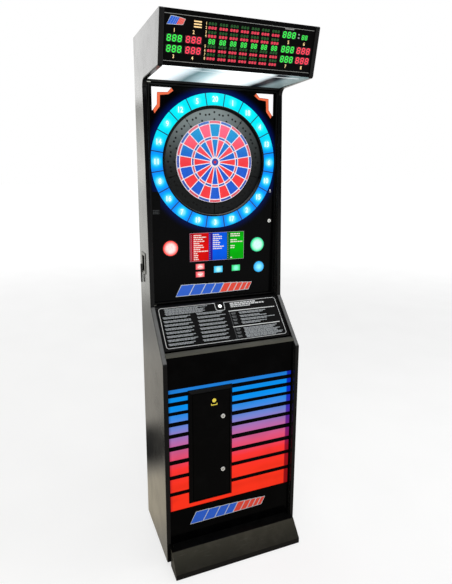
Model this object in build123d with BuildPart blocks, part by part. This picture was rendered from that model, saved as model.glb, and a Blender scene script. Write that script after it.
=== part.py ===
from build123d import *
import os
from math import atan2, cos, degrees, radians, sin

os.makedirs("parts", exist_ok=True)

# Free-standing electronic dart cabinet. Millimetres, +Z up, -Y is the front, +X is the player's right.
# Origin: centre of the footprint on the floor.

# ---- driving dimensions ----
WIDTH = 620.0  # over the side panels
SIDE_T = 18.0  # side panel board
IN = WIDTH / 2 - SIDE_T  # half width between the side panels
BACK = 223.5  # rear face
HEIGHT = 2225.0
SIDE_FOOT = 25.0  # underside of the side panels
MOULD = 4.0  # depth of the edge moulding
BULL_Z = 1730.0  # regulation height of the bull
PANEL_Y = 93.5  # face of the door panel
TILT = 0.0  # the door hangs plumb, as a dart target has to

HEAD_TOP = (-206.5, HEIGHT)
HEAD_BOT = (-166.5, 2048.0)
VISOR_IN = (82.45, 2042.3)
KNEE = (46.5, 1127.0)
LAP = (-137.5, 937.0)

DOOR_HW = 289.0
DOOR_RIM = 6.0
DOOR_BOT, DOOR_TOP = -603.0, 303.0
HINGE_X, HINGE_W = -286.0, 5.0
PIN_R, RUN = 2.5, 0.05

R_RING_OUT, R_RING_IN = 282.0, 232.5
R_LIP_IN = 224.0
R_TARGET = 171.6
R_DOUBLE_OUT, R_DOUBLE_IN = 170.0, 160.8
R_SINGLE_OUT = 157.2
R_TRIPLE_OUT, R_TRIPLE_IN = 107.6, 93.6
R_TREBLE_WEB = 3.2
R_BULL_WEB_OUT, R_BULL_WEB_IN = 22.4, 15.2
WEB = 3.2  # width of a spider web
GAP = 0.3  # play round each segment
SEG_FACE, WEB_FACE, SEG_BACK = -2.6, -1.2, -14.6

LID_TOP, LID_BOT, LID_T = 4.0, 205.0, 12.0
LID_AXIS_S, LID_AXIS_W = 199.0, -6.0

LOWER_Y = -117.5  # face of the lower front panel
LOWER_T = 18.0
WIN_X, WIN_Z0, WIN_Z1 = 285.0, 251.0, 816.0
LIGHT_Y = -114.9  # face of the printed light panel, nearly flush
CASH_X0, CASH_X1, CASH_Z0, CASH_Z1 = -202.0, -3.0, 274.0, 801.0
CASH_FRONT = -132.5

DOOR = Plane(origin=(0, PANEL_Y, BULL_Z), x_dir=(1, 0, 0), z_dir=(0, -cos(radians(TILT)), sin(radians(TILT))))
LID = Plane(origin=(0, 53.5, 1120), x_dir=(1, 0, 0), z_dir=(0, -0.7184, 0.6957))
HEAD = Plane(origin=(0, HEAD_TOP[0], HEAD_TOP[1]), x_dir=(1, 0, 0), z_dir=(0, -0.97526, -0.2204))


def bx(x0, x1, y0, y1, z0, z1, mode=Mode.ADD):
    with Locations(((x0 + x1) / 2, (y0 + y1) / 2, (z0 + z1) / 2)):
        Box(abs(x1 - x0), abs(y1 - y0), abs(z1 - z0), mode=mode)


def rod(x, y, z0, z1, r, mode=Mode.ADD):
    with Locations((x, y, (z0 + z1) / 2)):
        Cylinder(r, abs(z1 - z0), mode=mode)


def rod_x(x0, x1, y, z, r, mode=Mode.ADD):
    with Locations(((x0 + x1) / 2, y, z)):
        Cylinder(r, abs(x1 - x0), rotation=(0, 90, 0), mode=mode)


def rod_y(x, y0, y1, z, r, mode=Mode.ADD):
    with Locations((x, (y0 + y1) / 2, z)):
        Cylinder(r, abs(y1 - y0), rotation=(90, 0, 0), mode=mode)


def save(part, name):
    part.part.label = name
    export_step(part.part, "parts/" + name + ".step")


# ---------------------------------------------------------------- side panels and mouldings
with BuildSketch() as side_full:
    with BuildLine():
        Polyline(
            (BACK, SIDE_FOOT), (BACK, HEIGHT), HEAD_TOP, HEAD_BOT, VISOR_IN, KNEE, LAP,
            (LAP[0], SIDE_FOOT), close=True,
        )
    make_face()
    corner = lambda p, r: fillet(
        [v for v in side_full.vertices() if abs(v.X - p[0]) < 0.1 and abs(v.Y - p[1]) < 0.1], r
    )
    corner(VISOR_IN, 28)
    corner(HEAD_BOT, 9)
    corner(HEAD_TOP, 6)
    corner(KNEE, 12)
    corner(LAP, 14)
with BuildSketch() as side_core:
    add(side_full.sketch)
    offset(amount=-MOULD, mode=Mode.REPLACE)
with BuildSketch() as side_mould:
    add(side_full.sketch)
    add(side_core.sketch, mode=Mode.SUBTRACT)
    with Locations((BACK, HEIGHT / 2)):
        Rectangle(2 * MOULD + 0.01, HEIGHT + 20, mode=Mode.SUBTRACT)
    with Locations((14, HEIGHT)):
        Rectangle(419, 2 * MOULD + 0.01, mode=Mode.SUBTRACT)
    with Locations((50, SIDE_FOOT)):
        Rectangle(360, 2 * MOULD + 0.01, mode=Mode.SUBTRACT)
with BuildSketch() as side_panel_face:
    add(side_full.sketch)
    add(side_mould.sketch, mode=Mode.SUBTRACT)

# coin unit on the left side
COIN_Y0, COIN_Y1, COIN_Z0, COIN_Z1 = 116.5, 192.5, 1254.0, 1347.0
LID_AXIS_Y = 53.5 - 0.6957 * LID_AXIS_S + 0.7184 * (-LID_AXIS_W)
LID_AXIS_Z = 1120 - 0.7184 * LID_AXIS_S + 0.6957 * LID_AXIS_W

for hand, x0 in (("left", -WIDTH / 2), ("right", IN)):
    with BuildPart() as side_panel:
        with BuildSketch(Plane.YZ.offset(x0)):
            add(side_panel_face.sketch)
        extrude(amount=SIDE_T)
        if hand == "left":
            bx(x0 - 1, x0 + SIDE_T + 1, COIN_Y0 + 9, COIN_Y1 - 9, COIN_Z0 + 9, COIN_Z1 - 9, Mode.SUBTRACT)
        # blind holes for the lid's pins
        rod_x(*((x0 + SIDE_T - 6, x0 + SIDE_T + 1) if hand == "left" else (x0 - 1, x0 + 6)),
              LID_AXIS_Y, LID_AXIS_Z, 3 + RUN, Mode.SUBTRACT)
    save(side_panel, "side_panel_" + hand)

with BuildPart() as edge_mouldings:
    for x0 in (-WIDTH / 2, IN):
        with BuildSketch(Plane.YZ.offset(x0)):
            add(side_mould.sketch)
        extrude(amount=SIDE_T)
    front = [
        e for e in edge_mouldings.edges()
        if abs(e.bounding_box().size.X) < 0.01
        and any(abs(abs(e.center().X) - k) < 0.01 for k in (IN, WIDTH / 2))
        and e.length > 5
    ]
    inner_core = side_core.sketch.face()
    outer = []
    for e in front:
        c = e.position_at(0.5)
        d = min(
            (Vertex(c.Y, c.Z, 0).distance_to(w) for w in side_full.sketch.face().outer_wire().edges())
        )
        if d < 0.2:
            outer.append(e)
    fillet(outer, 2.6)
save(edge_mouldings, "edge_mouldings")

# ---------------------------------------------------------------- shell
with BuildPart() as back_panel:
    bx(-IN, IN, BACK - 12, BACK, SIDE_FOOT + 20, HEIGHT - 18)
    bx(-230, 230, BACK - 13, BACK + 1, 1250, 2100, Mode.SUBTRACT)  # service opening
    bx(-40, 40, BACK - 13, BACK + 1, 128, 182, Mode.SUBTRACT)  # inlet opening
    for i in range(6):
        bx(-150, 150, BACK - 13, BACK + 1, 900 + i * 22, 908 + i * 22, Mode.SUBTRACT)
    for x0, x1 in ((-244, -205), (205, 244)):
        bx(x0, x1, BACK - 30, BACK - 12, 1236, 2114)
save(back_panel, "back_panel")

with BuildPart() as service_cover:
    bx(-229, 229, BACK - 11, BACK - 1, 1251, 2099)
    for i in range(6):
        bx(-120, 120, BACK - 12, BACK, 1950 + i * 20, 1958 + i * 20, Mode.SUBTRACT)
    for x in (-214, 214):
        for z in (1270, 1675, 2080):
            rod_y(x, BACK - 12, BACK + 1, z, 3, Mode.SUBTRACT)
save(service_cover, "service_cover")

with BuildPart() as cabinet_screws:
    for x in (-214, 214):
        for z in (1270, 1675, 2080):
            rod_y(x, BACK - 11.9, BACK - 1, z, 2.9)
            rod_y(x, BACK - 1, BACK - 0.2, z, 6.0)
save(cabinet_screws, "service_screws")

with BuildPart() as top_and_bottom_panels:
    with BuildSketch(Plane.YZ.offset(-IN)):
        with BuildLine():
            Polyline((-198.2, HEIGHT), (-194.1, HEIGHT - 18), (BACK - 0.01, HEIGHT - 18), (BACK - 0.01, HEIGHT), close=True)
        make_face()
    extrude(amount=2 * IN)
    bx(-IN, IN, LOWER_Y + LOWER_T, BACK - 12, SIDE_FOOT + 20, SIDE_FOOT + 38)
    for x in (-262, 262):
        for y in (-75, 190):
            rod(x, y, 40, 65, 5.3, Mode.SUBTRACT)
save(top_and_bottom_panels, "top_and_bottom_panels")

with BuildPart() as levelling_feet:
    for x in (-262, 262):
        for y in (-75, 190):
            rod(x, y, 0, 9, 22)
            rod(x, y, 9, 63, 5)
            rod(x, y, 37, 45, 9)
    fillet(levelling_feet.edges().filter_by(GeomType.CIRCLE).group_by(Axis.Z)[1], 2)
save(levelling_feet, "levelling_feet")

# ---------------------------------------------------------------- header
HEAD_LEN = 181.5
with BuildPart(HEAD) as display_panel:
    bx(-IN, IN, -179, -2, -8, -4)
save(display_panel, "display_panel")

GREEN_WIN = [(-283, -225, 80, 103), (-283, -225, 113, 137), (156, 213, 78, 102), (156, 213, 112, 136),
             (155, 213, 30, 53), (236, 263, 36, 53)]
RED_WIN = [(-215, -155, 80, 103), (-215, -155, 113, 137), (221, 282, 78, 102), (221, 282, 112, 136)]
COLS = [-118, -76.5, -36, 5, 46, 86.5, 128]
ROWS = [(35, 0), (48, 0), (62, 0), (74, 0), (91, 1), (106.5, 0), (120, 0), (133, 0), (146, 0)]
with BuildPart(HEAD) as led_windows:
    for x0, x1, s0, s1 in GREEN_WIN + RED_WIN:
        bx(x0 - 2, x1 + 2, -s1 - 1.5, -s0 + 1.5, -4, -3.4)
    for s, big in ROWS:
        for c in COLS:
            h = 9.4 if big else 4.9
            bx(c - 17, c + 17, -s - h, -s + h, -4, -3.4)
save(led_windows, "led_windows")

with BuildPart() as visor_panel:
    bx(-IN, IN, -163, 81, 2046, 2050.5)
    bx(-262, 262, -146, -132, 2045, 2051, Mode.SUBTRACT)
save(visor_panel, "visor_panel")

with BuildPart() as light_bars:
    bx(-261.5, 261.5, -145.5, -132.5, 2046.6, 2058)
    for x0, x1 in ((-276, -208), (8, 276)):
        for i in range(10):
            bx(x0, x1, -43, -34, 268 + i * 58, 278 + i * 58)
save(light_bars, "light_bars")

with BuildPart() as head_rail:
    bx(-274, IN, 84, 104, 2037.5, 2046)
    fillet(head_rail.edges().filter_by(Axis.X).group_by(Axis.Z)[0], 2)
save(head_rail, "head_rail")

# ---------------------------------------------------------------- upper door
with BuildPart(DOOR) as door_frame:
    bx(-DOOR_HW, DOOR_HW, DOOR_BOT, DOOR_TOP, -20, 10)
    fillet(door_frame.faces().sort_by(Axis.Y)[0].edges(), 1.6)
    bx(-DOOR_HW + DOOR_RIM, DOOR_HW - DOOR_RIM, DOOR_BOT + DOOR_RIM, DOOR_TOP - DOOR_RIM, -21, 11, Mode.SUBTRACT)
    rod_y(HINGE_X, DOOR_BOT - 6, DOOR_BOT + 1, HINGE_W, PIN_R)
    rod_y(HINGE_X, DOOR_TOP - 1, DOOR_TOP + 6, HINGE_W, PIN_R)
save(door_frame, "door_frame")

# (x, v, half width, half height, round?) of each push button on the door
Z2V = lambda z: (z - BULL_Z)
BUTTONS = {
    "button_left": (-205.5, Z2V(1367), 32.5, 0, True),
    "button_right": (205.0, Z2V(1363), 32.5, 0, True),
    "button_blue": (215.0, Z2V(1258.5), 25.0, 0, True),
    "button_up": (-72.5, Z2V(1278), 19.5, 12.0, False),
    "button_down": (-72.5, Z2V(1243.2), 19.5, 12.0, False),
    "button_cyan": (13.7, Z2V(1260.4), 20.0, 14.0, False),
    "button_green": (99.6, Z2V(1261), 19.5, 13.0, False),
}
LOCK = (264, Z2V(1470))
PANEL_HW = DOOR_HW - DOOR_RIM
MENU = (-118.6, 138.6, Z2V(1302), Z2V(1427.5))

with BuildPart(DOOR) as door_panel:
    bx(-PANEL_HW, PANEL_HW, DOOR_BOT + DOOR_RIM, DOOR_TOP - DOOR_RIM, -4, 0)
    rod(0, 0, -5, 1, R_RING_OUT - 0.4, Mode.SUBTRACT)
    for x, v, a, b, is_round in BUTTONS.values():
        if is_round:
            rod(x, v, -5, 1, a + 1.2, Mode.SUBTRACT)
        else:
            bx(x - a - 1.2, x + a + 1.2, v - b - 1.2, v + b + 1.2, -5, 1, Mode.SUBTRACT)
    rod(*LOCK, -5, 1, 8, Mode.SUBTRACT)
    bx(MENU[0], MENU[1], MENU[2], MENU[3], -5, 1, Mode.SUBTRACT)
save(door_panel, "door_panel")

with BuildPart(DOOR) as menu_panel:
    bx(MENU[0], MENU[1], MENU[2], MENU[3], -4, 0.6)
save(menu_panel, "menu_panel")

with BuildPart(DOOR) as number_ring:
    rod(0, 0, -4, 0.5, R_RING_OUT - 0.4)
    rod(0, 0, -5, 1, R_RING_IN, Mode.SUBTRACT)
save(number_ring, "number_ring")

with BuildPart(DOOR) as door_boards:
    rod(0, 0, -16, -14.4, 278)
    rod(0, 0, -17, -14, 238, Mode.SUBTRACT)
    for k in range(20):
        a = radians(90 + 18 * k)
        with Locations((257 * cos(a), 257 * sin(a), -13.4)):
            Box(10, 10, 2)
    rod(0, 0, -19.5, -18, 170)
save(door_boards, "door_boards")

with BuildPart(DOOR) as target_lip:
    rod(0, 0, -4, 4.5, R_RING_IN)
    rod(0, 0, -9.6, -4, 226.4)
    rod(0, 0, -11, 6, R_LIP_IN, Mode.SUBTRACT)
    fillet(target_lip.edges().filter_by(GeomType.CIRCLE).sort_by(lambda e: DOOR.to_local_coords(e.center()).Z)[-2:], 3.6)
save(target_lip, "target_lip")

SPLITS = [54, 126, 198, 270, 342]
with BuildPart(DOOR) as catch_ring:
    rod(0, 0, -14, -9.6, 226.3)
    rod(0, 0, -15, -8, R_TARGET + 0.3, Mode.SUBTRACT)
    fillet(catch_ring.edges().filter_by(GeomType.CIRCLE).sort_by(lambda e: DOOR.to_local_coords(e.center()).Z)[-1:], 0.8)
    for a in SPLITS:
        with Locations(Location((198 * cos(radians(a)), 198 * sin(radians(a)), -12), (0, 0, a))):
            Box(70, 2.6, 8, mode=Mode.SUBTRACT)
    pts = []
    for k in range(20):
        c = 90 + 18 * k
        for r, da in ((206, 0), (177.5, 0), (197, 6.6), (197, -6.6)):
            if min(abs((c + da - s + 180) % 360 - 180) for s in SPLITS) > 1.2:
                pts.append((r * cos(radians(c + da)), r * sin(radians(c + da)), -12))
    with Locations(*pts):
        Cylinder(2.3, 8, mode=Mode.SUBTRACT)
save(catch_ring, "catch_ring")


# target: every sector is 18 degrees, 20 at the top
def wedge_faces(r0, r1, web):
    with BuildSketch() as s:
        Circle(r1)
        Circle(r0, mode=Mode.SUBTRACT)
        for k in range(10):
            with Locations(Location((0, 0, 0), (0, 0, 9 + 18 * k))):
                Rectangle(2 * r1 + 10, web, mode=Mode.SUBTRACT)
    return s.sketch.faces()


def by_parity(faces, odd):
    out = []
    for f in faces:
        c = f.center()
        k = round((degrees(atan2(c.Y, c.X)) - 90) / 18)
        if (k % 2 == 1) == odd:
            out.append(f)
    return out


single_faces = wedge_faces(R_BULL_WEB_OUT + GAP, R_TRIPLE_IN - R_TREBLE_WEB / 2 + 1.6 - GAP, WEB + 2 * GAP) + wedge_faces(
    R_TRIPLE_OUT + GAP, R_SINGLE_OUT - GAP, WEB + 2 * GAP
)
multi_faces = wedge_faces(R_TRIPLE_IN + R_TREBLE_WEB + GAP, R_TRIPLE_OUT - R_TREBLE_WEB - GAP, WEB + 2 * GAP) + wedge_faces(
    R_DOUBLE_IN + GAP, R_DOUBLE_OUT, WEB + 2 * GAP
)
for name, faces, odd in (
    ("singles_blue", single_faces, False), ("singles_red", single_faces, True),
    ("multiples_red", multi_faces, False), ("multiples_blue", multi_faces, True),
):
    with BuildPart(DOOR) as seg:
        with BuildSketch(DOOR.offset(SEG_BACK)):
            for f in by_parity(faces, odd):
                add(f)
        extrude(amount=SEG_FACE - SEG_BACK)
    save(seg, name)

with BuildPart(DOOR) as spider:
    with BuildSketch(DOOR.offset(SEG_BACK)):
        Circle(R_TARGET)
        Circle(R_DOUBLE_OUT + GAP, mode=Mode.SUBTRACT)
    extrude(amount=WEB_FACE - SEG_BACK)
    with BuildSketch(DOOR.offset(SEG_BACK)):
        Circle(R_DOUBLE_OUT + 1)
        Circle(R_BULL_WEB_OUT - 1, mode=Mode.SUBTRACT)
        for f in single_faces + multi_faces:
            with BuildSketch(mode=Mode.PRIVATE) as grown:
                add(f)
                offset(amount=GAP, kind=Kind.INTERSECTION)
            add(grown.sketch, mode=Mode.SUBTRACT)
    extrude(amount=WEB_FACE - SEG_BACK)
    rod(0, 0, SEG_BACK, WEB_FACE, R_BULL_WEB_OUT)
    rod(0, 0, SEG_BACK - 1, WEB_FACE + 1, R_BULL_WEB_IN, Mode.SUBTRACT)
save(spider, "spider")

with BuildPart(DOOR) as bull_outer:
    rod(0, 0, SEG_BACK, SEG_FACE + 0.6, R_BULL_WEB_IN - GAP)
    rod(0, 0, SEG_BACK - 1, SEG_FACE + 2, 6.2, Mode.SUBTRACT)
save(bull_outer, "bull_outer")

with BuildPart(DOOR) as bull_inner:
    rod(0, 0, SEG_BACK, SEG_FACE + 0.6, 6.2 - GAP)
save(bull_inner, "bull_inner")

with BuildPart(DOOR) as head_housing:
    rod(0, 0, -44, -6, 230)
    rod(0, 0, -41, -5, 226.5, Mode.SUBTRACT)
save(head_housing, "head_housing")

with BuildPart(DOOR) as button_bezels:
    for x, v, a, b, is_round in BUTTONS.values():
        if is_round:
            rod(x, v, 0, 1.8, a + 3.5)
        else:
            bx(x - a - 2.6, x + a + 2.6, v - b - 2.6, v + b + 2.6, 0, 1.6)
    top = button_bezels.faces().filter_by(Axis((0, 0, 0), tuple(DOOR.z_dir))).sort_by(
        lambda f: DOOR.to_local_coords(f.center()).Z
    )[-7:]
    chamfer(top.edges(), 0.7)
    for x, v, a, b, is_round in BUTTONS.values():
        if is_round:
            rod(x, v, -1, 5, a + 0.5, Mode.SUBTRACT)
        else:
            bx(x - a - 0.5, x + a + 0.5, v - b - 0.5, v + b + 0.5, -1, 5, Mode.SUBTRACT)
save(button_bezels, "button_bezels")

for name, (x, v, a, b, is_round) in BUTTONS.items():
    with BuildPart(DOOR) as button:
        if is_round:
            rod(x, v, -9, 4.6, a)
        else:
            bx(x - a, x + a, v - b, v + b, -9, 4.2)
        face = button.faces().sort_by(lambda f: DOOR.to_local_coords(f.center()).Z)[-1]
        fillet(face.edges(), 1.6 if is_round else 1.2)
        rod(x, v, -17, -9, 5)
    save(button, name)

with BuildPart(DOOR) as button_switches:
    for x, v, a, b, is_round in BUTTONS.values():
        if is_round:
            rod(x, v, -34, -4, a + 6)
            rod(x, v, -25, -3, a + 2.5, Mode.SUBTRACT)
        else:
            bx(x - a - 5, x + a + 5, v - b - 4.5, v + b + 4.5, -34, -4)
            bx(x - a - 2.5, x + a + 2.5, v - b - 2.5, v + b + 2.5, -25, -3, Mode.SUBTRACT)
save(button_switches, "button_switches")


LOCK_DEPTH = 22.0


def lock_barrel(x, v, r):
    """Fixed barrel of a cam lock with its round head, in the current plane."""
    rod(x, v, -LOCK_DEPTH + 1, 0, 7.8)
    with Locations((x, v, 0)):
        Cone(r, r - 1.2, 3, align=(Align.CENTER, Align.CENTER, Align.MIN))
    rod(x, v, -LOCK_DEPTH - 1, 4, 5.2 + RUN, Mode.SUBTRACT)


def lock_cam(x, v, reach):
    """Turning plug with a key slot, and its cam hanging straight down when unlocked."""
    rod(x, v, -LOCK_DEPTH - 5, 2.4, 5.2)
    bx(x - 0.7, x + 0.7, v - 3.6, v + 3.6, 0.6, 3, Mode.SUBTRACT)
    bx(x - 6, x + 6, v - reach, v + 6.2, -LOCK_DEPTH - 4, -LOCK_DEPTH - 1.5)


with BuildPart(DOOR) as door_lock_barrel:
    lock_barrel(*LOCK, 9)
save(door_lock_barrel, "door_lock_barrel")

with BuildPart(DOOR) as door_lock_cam:
    lock_cam(*LOCK, 24.5)
save(door_lock_cam, "door_lock_cam")

# ---------------------------------------------------------------- middle
with BuildPart() as cross_rails:
    with BuildSketch(Plane.YZ.offset(-IN)):
        with BuildLine():
            Polyline((52.6, 1119), (51.4, 1117.8), (61.5, 1108.1), (150, 1108.1), (150, 1119), close=True)
        make_face()
    extrude(amount=2 * IN)
    bx(-IN, IN, LOWER_Y, -91, 955, 966.5)
save(cross_rails, "cross_rails")

with BuildPart(LID) as rules_plate:
    bx(-288, 288, -LID_BOT, -LID_TOP, -LID_T, 0)
    fillet(rules_plate.edges().filter_by(Axis.X), 1.5)
    rod(0, -24, -LID_T - 1, 1, 8, Mode.SUBTRACT)
    rod_x(-297, -280, -LID_AXIS_S, LID_AXIS_W, 3)
    rod_x(280, 297, -LID_AXIS_S, LID_AXIS_W, 3)
save(rules_plate, "rules_plate")

with BuildPart(LID) as rules_lock_barrel:
    lock_barrel(0, -24, 9)
save(rules_lock_barrel, "rules_lock_barrel")

with BuildPart(LID) as rules_lock_cam:
    lock_cam(0, -24, 27)
save(rules_lock_cam, "rules_lock_cam")

# ---------------------------------------------------------------- lower front
with BuildPart() as lower_front_panel:
    bx(-IN, IN, LOWER_Y, LOWER_Y + LOWER_T, 45, 955)
    bx(-WIN_X, WIN_X, LOWER_Y - 1, LOWER_Y + LOWER_T + 1, WIN_Z0, WIN_Z1, Mode.SUBTRACT)
save(lower_front_panel, "lower_front_panel")

with BuildPart() as light_box:
    bx(-291.5, 291.5, LOWER_Y + LOWER_T, -30, 236, 834)
    bx(-289, 289, LOWER_Y + LOWER_T - 1, -34, 240, 830, Mode.SUBTRACT)
    bx(CASH_X0 - 0.5, CASH_X1 + 0.5, -40, -20, CASH_Z0 - 0.5, CASH_Z1 + 0.5, Mode.SUBTRACT)
save(light_box, "light_box")

with BuildPart() as light_panel:
    bx(-WIN_X + 0.3, WIN_X - 0.3, LIGHT_Y, LOWER_Y + LOWER_T, WIN_Z0 + 0.3, WIN_Z1 - 0.3)
    bx(-288.5, 288.5, LOWER_Y + LOWER_T, LOWER_Y + LOWER_T + 3, 240.5, 829.5)
    bx(-WIN_X + 2.8, WIN_X - 2.8, LIGHT_Y + 3, LOWER_Y + LOWER_T + 4, WIN_Z0 + 2.8, WIN_Z1 - 2.8, Mode.SUBTRACT)
    bx(CASH_X0 - 0.2, CASH_X1 + 0.2, LIGHT_Y - 1, LOWER_Y + LOWER_T + 4, CASH_Z0 - 0.2, CASH_Z1 + 0.2, Mode.SUBTRACT)
save(light_panel, "light_panel")

FRAME_WALL = 14.0
with BuildPart() as cash_surround:
    bx(CASH_X0, CASH_X1, CASH_FRONT, 160, CASH_Z0, CASH_Z1)
    chamfer(cash_surround.faces().sort_by(Axis.Y)[0].edges(), 11)
    bx(CASH_X0 + FRAME_WALL, CASH_X1 - FRAME_WALL, CASH_FRONT - 1, 161, CASH_Z0 + FRAME_WALL, CASH_Z1 - FRAME_WALL, Mode.SUBTRACT)
    for z in (666, 413):  # lugs that the lock cams turn behind
        bx(CASH_X1 - FRAME_WALL - 11, CASH_X1 - FRAME_WALL, CASH_FRONT + 22.9, CASH_FRONT + 24.1, z - 12, z + 12)
    rod(CASH_X0 + FRAME_WALL + 5.7, CASH_FRONT + 5.5, CASH_Z0 + 8, CASH_Z1 - 8, 2 + RUN, Mode.SUBTRACT)
save(cash_surround, "cash_surround")

CD = (CASH_X0 + FRAME_WALL + 2.2, CASH_X1 - FRAME_WALL - 1.2, CASH_Z0 + FRAME_WALL + 1.2, CASH_Z1 - FRAME_WALL - 1.2)
CD_AXIS_X, CD_AXIS_Y = CD[0] + 3.5, CASH_FRONT + 5.5
CASH = Plane(origin=(0, CASH_FRONT + 1.5, 0), x_dir=(1, 0, 0), z_dir=(0, -1, 0))
CASH_LOCKS = {"cash_lock_upper": (-50, 666), "cash_lock_lower": (-50, 413)}
with BuildPart() as cash_door:
    bx(CD[0], CD[1], CASH_FRONT + 1.5, CASH_FRONT + 9.5, CD[2], CD[3])
    fillet(cash_door.faces().sort_by(Axis.Y)[0].edges(), 1.5)
    for x, z in CASH_LOCKS.values():
        rod_y(x, CASH_FRONT, CASH_FRONT + 12, z, 8, Mode.SUBTRACT)
    rod(CD_AXIS_X, CD_AXIS_Y, CD[2] - 6, CD[2] + 1, 2)
    rod(CD_AXIS_X, CD_AXIS_Y, CD[3] - 1, CD[3] + 6, 2)
save(cash_door, "cash_door")

with BuildPart(CASH) as cash_lock_barrels:
    for x, z in CASH_LOCKS.values():
        lock_barrel(x, z, 10)
save(cash_lock_barrels, "cash_lock_barrels")

for name, (x, z) in CASH_LOCKS.items():
    with BuildPart(CASH) as cash_cam:
        lock_cam(x, z, 28.5)
    save(cash_cam, name)

with BuildPart() as cash_box:
    bx(-170, -30, -60, 150, CASH_Z0 + FRAME_WALL, 560)
    bx(-168.4, -31.6, -58.4, 148.4, CASH_Z0 + FRAME_WALL + 1.6, 561, Mode.SUBTRACT)
save(cash_box, "cash_box")

with BuildPart() as kick_plate:
    with BuildSketch(Plane.YZ.offset(-295)):
        with BuildLine():
            Polyline((-137.7, 92), (-163.5, 92), (-223.5, 27), (-223.5, 3), (-137.7, 3), close=True)
        make_face()
    extrude(amount=590)
    fillet(kick_plate.edges().filter_by(Axis.X).group_by(Axis.Y)[0].sort_by(Axis.Z)[-1], 3)
    with BuildSketch(Plane.YZ.offset(-292)):
        with BuildLine():
            Polyline((-137, 89), (-162.2, 89), (-220.5, 25.8), (-220.5, 2), (-137, 2), close=True)
        make_face()
    extrude(amount=584, mode=Mode.SUBTRACT)
    bx(-280, 280, -137.8, LOWER_Y, 86, 92)  # fixing flange
    bx(-280, 280, LOWER_Y - 3, LOWER_Y, 50, 92)
save(kick_plate, "kick_plate")

# ---------------------------------------------------------------- coin unit
LEVER_Y, LEVER_Z = 180.0, 1284.0
with BuildPart() as coin_bezel:
    bx(-WIDTH / 2 - 3, -WIDTH / 2, COIN_Y0, COIN_Y1, COIN_Z0, COIN_Z1)
    fillet(coin_bezel.edges().filter_by(Axis.X), 9)
    chamfer(coin_bezel.faces().sort_by(Axis.X)[0].edges(), 1)
    bx(-WIDTH / 2, -WIDTH / 2 + 14, COIN_Y0 + 9.3, COIN_Y1 - 9.3, COIN_Z0 + 9.3, COIN_Z1 - 9.3)
    bx(-WIDTH / 2 - 5, -WIDTH / 2 + 12, COIN_Y0 + 12, COIN_Y1 - 22, COIN_Z0 + 12, COIN_Z1 - 12, Mode.SUBTRACT)
    bx(-WIDTH / 2, -WIDTH / 2 + 16, 138, 141.5, 1282, 1318, Mode.SUBTRACT)  # coin slot
    rod_x(-WIDTH / 2 - 5, -WIDTH / 2 + 15, LEVER_Y, LEVER_Z, 3 + RUN, Mode.SUBTRACT)
save(coin_bezel, "coin_bezel")

with BuildPart() as coin_lever:
    bx(-WIDTH / 2 - 8.5, -WIDTH / 2 - 4, LEVER_Y - 9, LEVER_Y + 9, LEVER_Z - 74, LEVER_Z)
    rod_x(-WIDTH / 2 - 8.5, -WIDTH / 2 - 4, LEVER_Y, LEVER_Z, 9)
    fillet(coin_lever.edges().filter_by(Axis.X).group_by(Axis.Z)[0], 5)
    chamfer(coin_lever.faces().sort_by(Axis.X)[0].edges(), 1)
    rod_x(-WIDTH / 2 - 4, -WIDTH / 2 + 13, LEVER_Y, LEVER_Z, 3)
save(coin_lever, "coin_lever")

with BuildPart() as coin_mech:
    bx(-291, -262, 120, 188, 1180, 1340)
    bx(-282, -278, 125, 160, 1140, 1180)
save(coin_mech, "coin_mech")

# ---------------------------------------------------------------- inside
with BuildPart() as power_supply:
    bx(120, 240, 60, 180, 63, 120)
    bx(-39.5, 39.5, BACK - 11, BACK - 2, 128.5, 181.5)  # inlet plate with its socket and switch
    bx(-34, -10, BACK - 9, BACK + 1, 140, 170, Mode.SUBTRACT)
    bx(10, 28, BACK - 5, BACK + 1, 143, 167, Mode.SUBTRACT)
save(power_supply, "power_supply")

with BuildPart() as circuit_boards:
    bx(60, 260, 210, 211.5, 300, 560)
    bx(90, 130, 201, 210, 330, 370)
    bx(160, 220, 198, 210, 420, 500)
    for i in range(5):
        bx(80 + i * 36, 100 + i * 36, 203, 210, 526, 540)
    with BuildSketch(HEAD.offset(-22)):
        with Locations((0, -99.5)):
            Rectangle(560, 145)
    extrude(amount=2)
    with BuildSketch(HEAD.offset(-20)):
        with Locations(*[(x, -90) for x in (-250, -185, 0, 185, 250)]):
            Rectangle(48, 100)
    extrude(amount=12)
save(circuit_boards, "circuit_boards")

with BuildPart() as loudspeaker:
    with Locations((-IN + 17, 120, 760)):
        Cone(46, 26, 34, rotation=(0, 90, 0))
    rod_x(-IN + 34, -IN + 48, 120, 760, 30)
save(loudspeaker, "loudspeaker")

with BuildPart(DOOR) as brackets_and_strikes:
    for y0, y1 in ((DOOR_BOT - 6, DOOR_BOT - 1.5), (DOOR_TOP + 1.5, DOOR_TOP + 5)):
        bx(-IN, -276, y0, y1, -8, 11)
        rod_y(HINGE_X, y0 - 1, y1 + 1, HINGE_W, PIN_R + RUN, Mode.SUBTRACT)
    bx(IN - 10, IN, LOCK[1] - 13, LOCK[1] + 13, -22.6, -21.4)
save(brackets_and_strikes, "brackets_and_strikes")
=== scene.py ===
import math
from math import atan2, cos, pi, radians, sin

import bmesh
import bpy
from mathutils import Matrix, Vector


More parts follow.
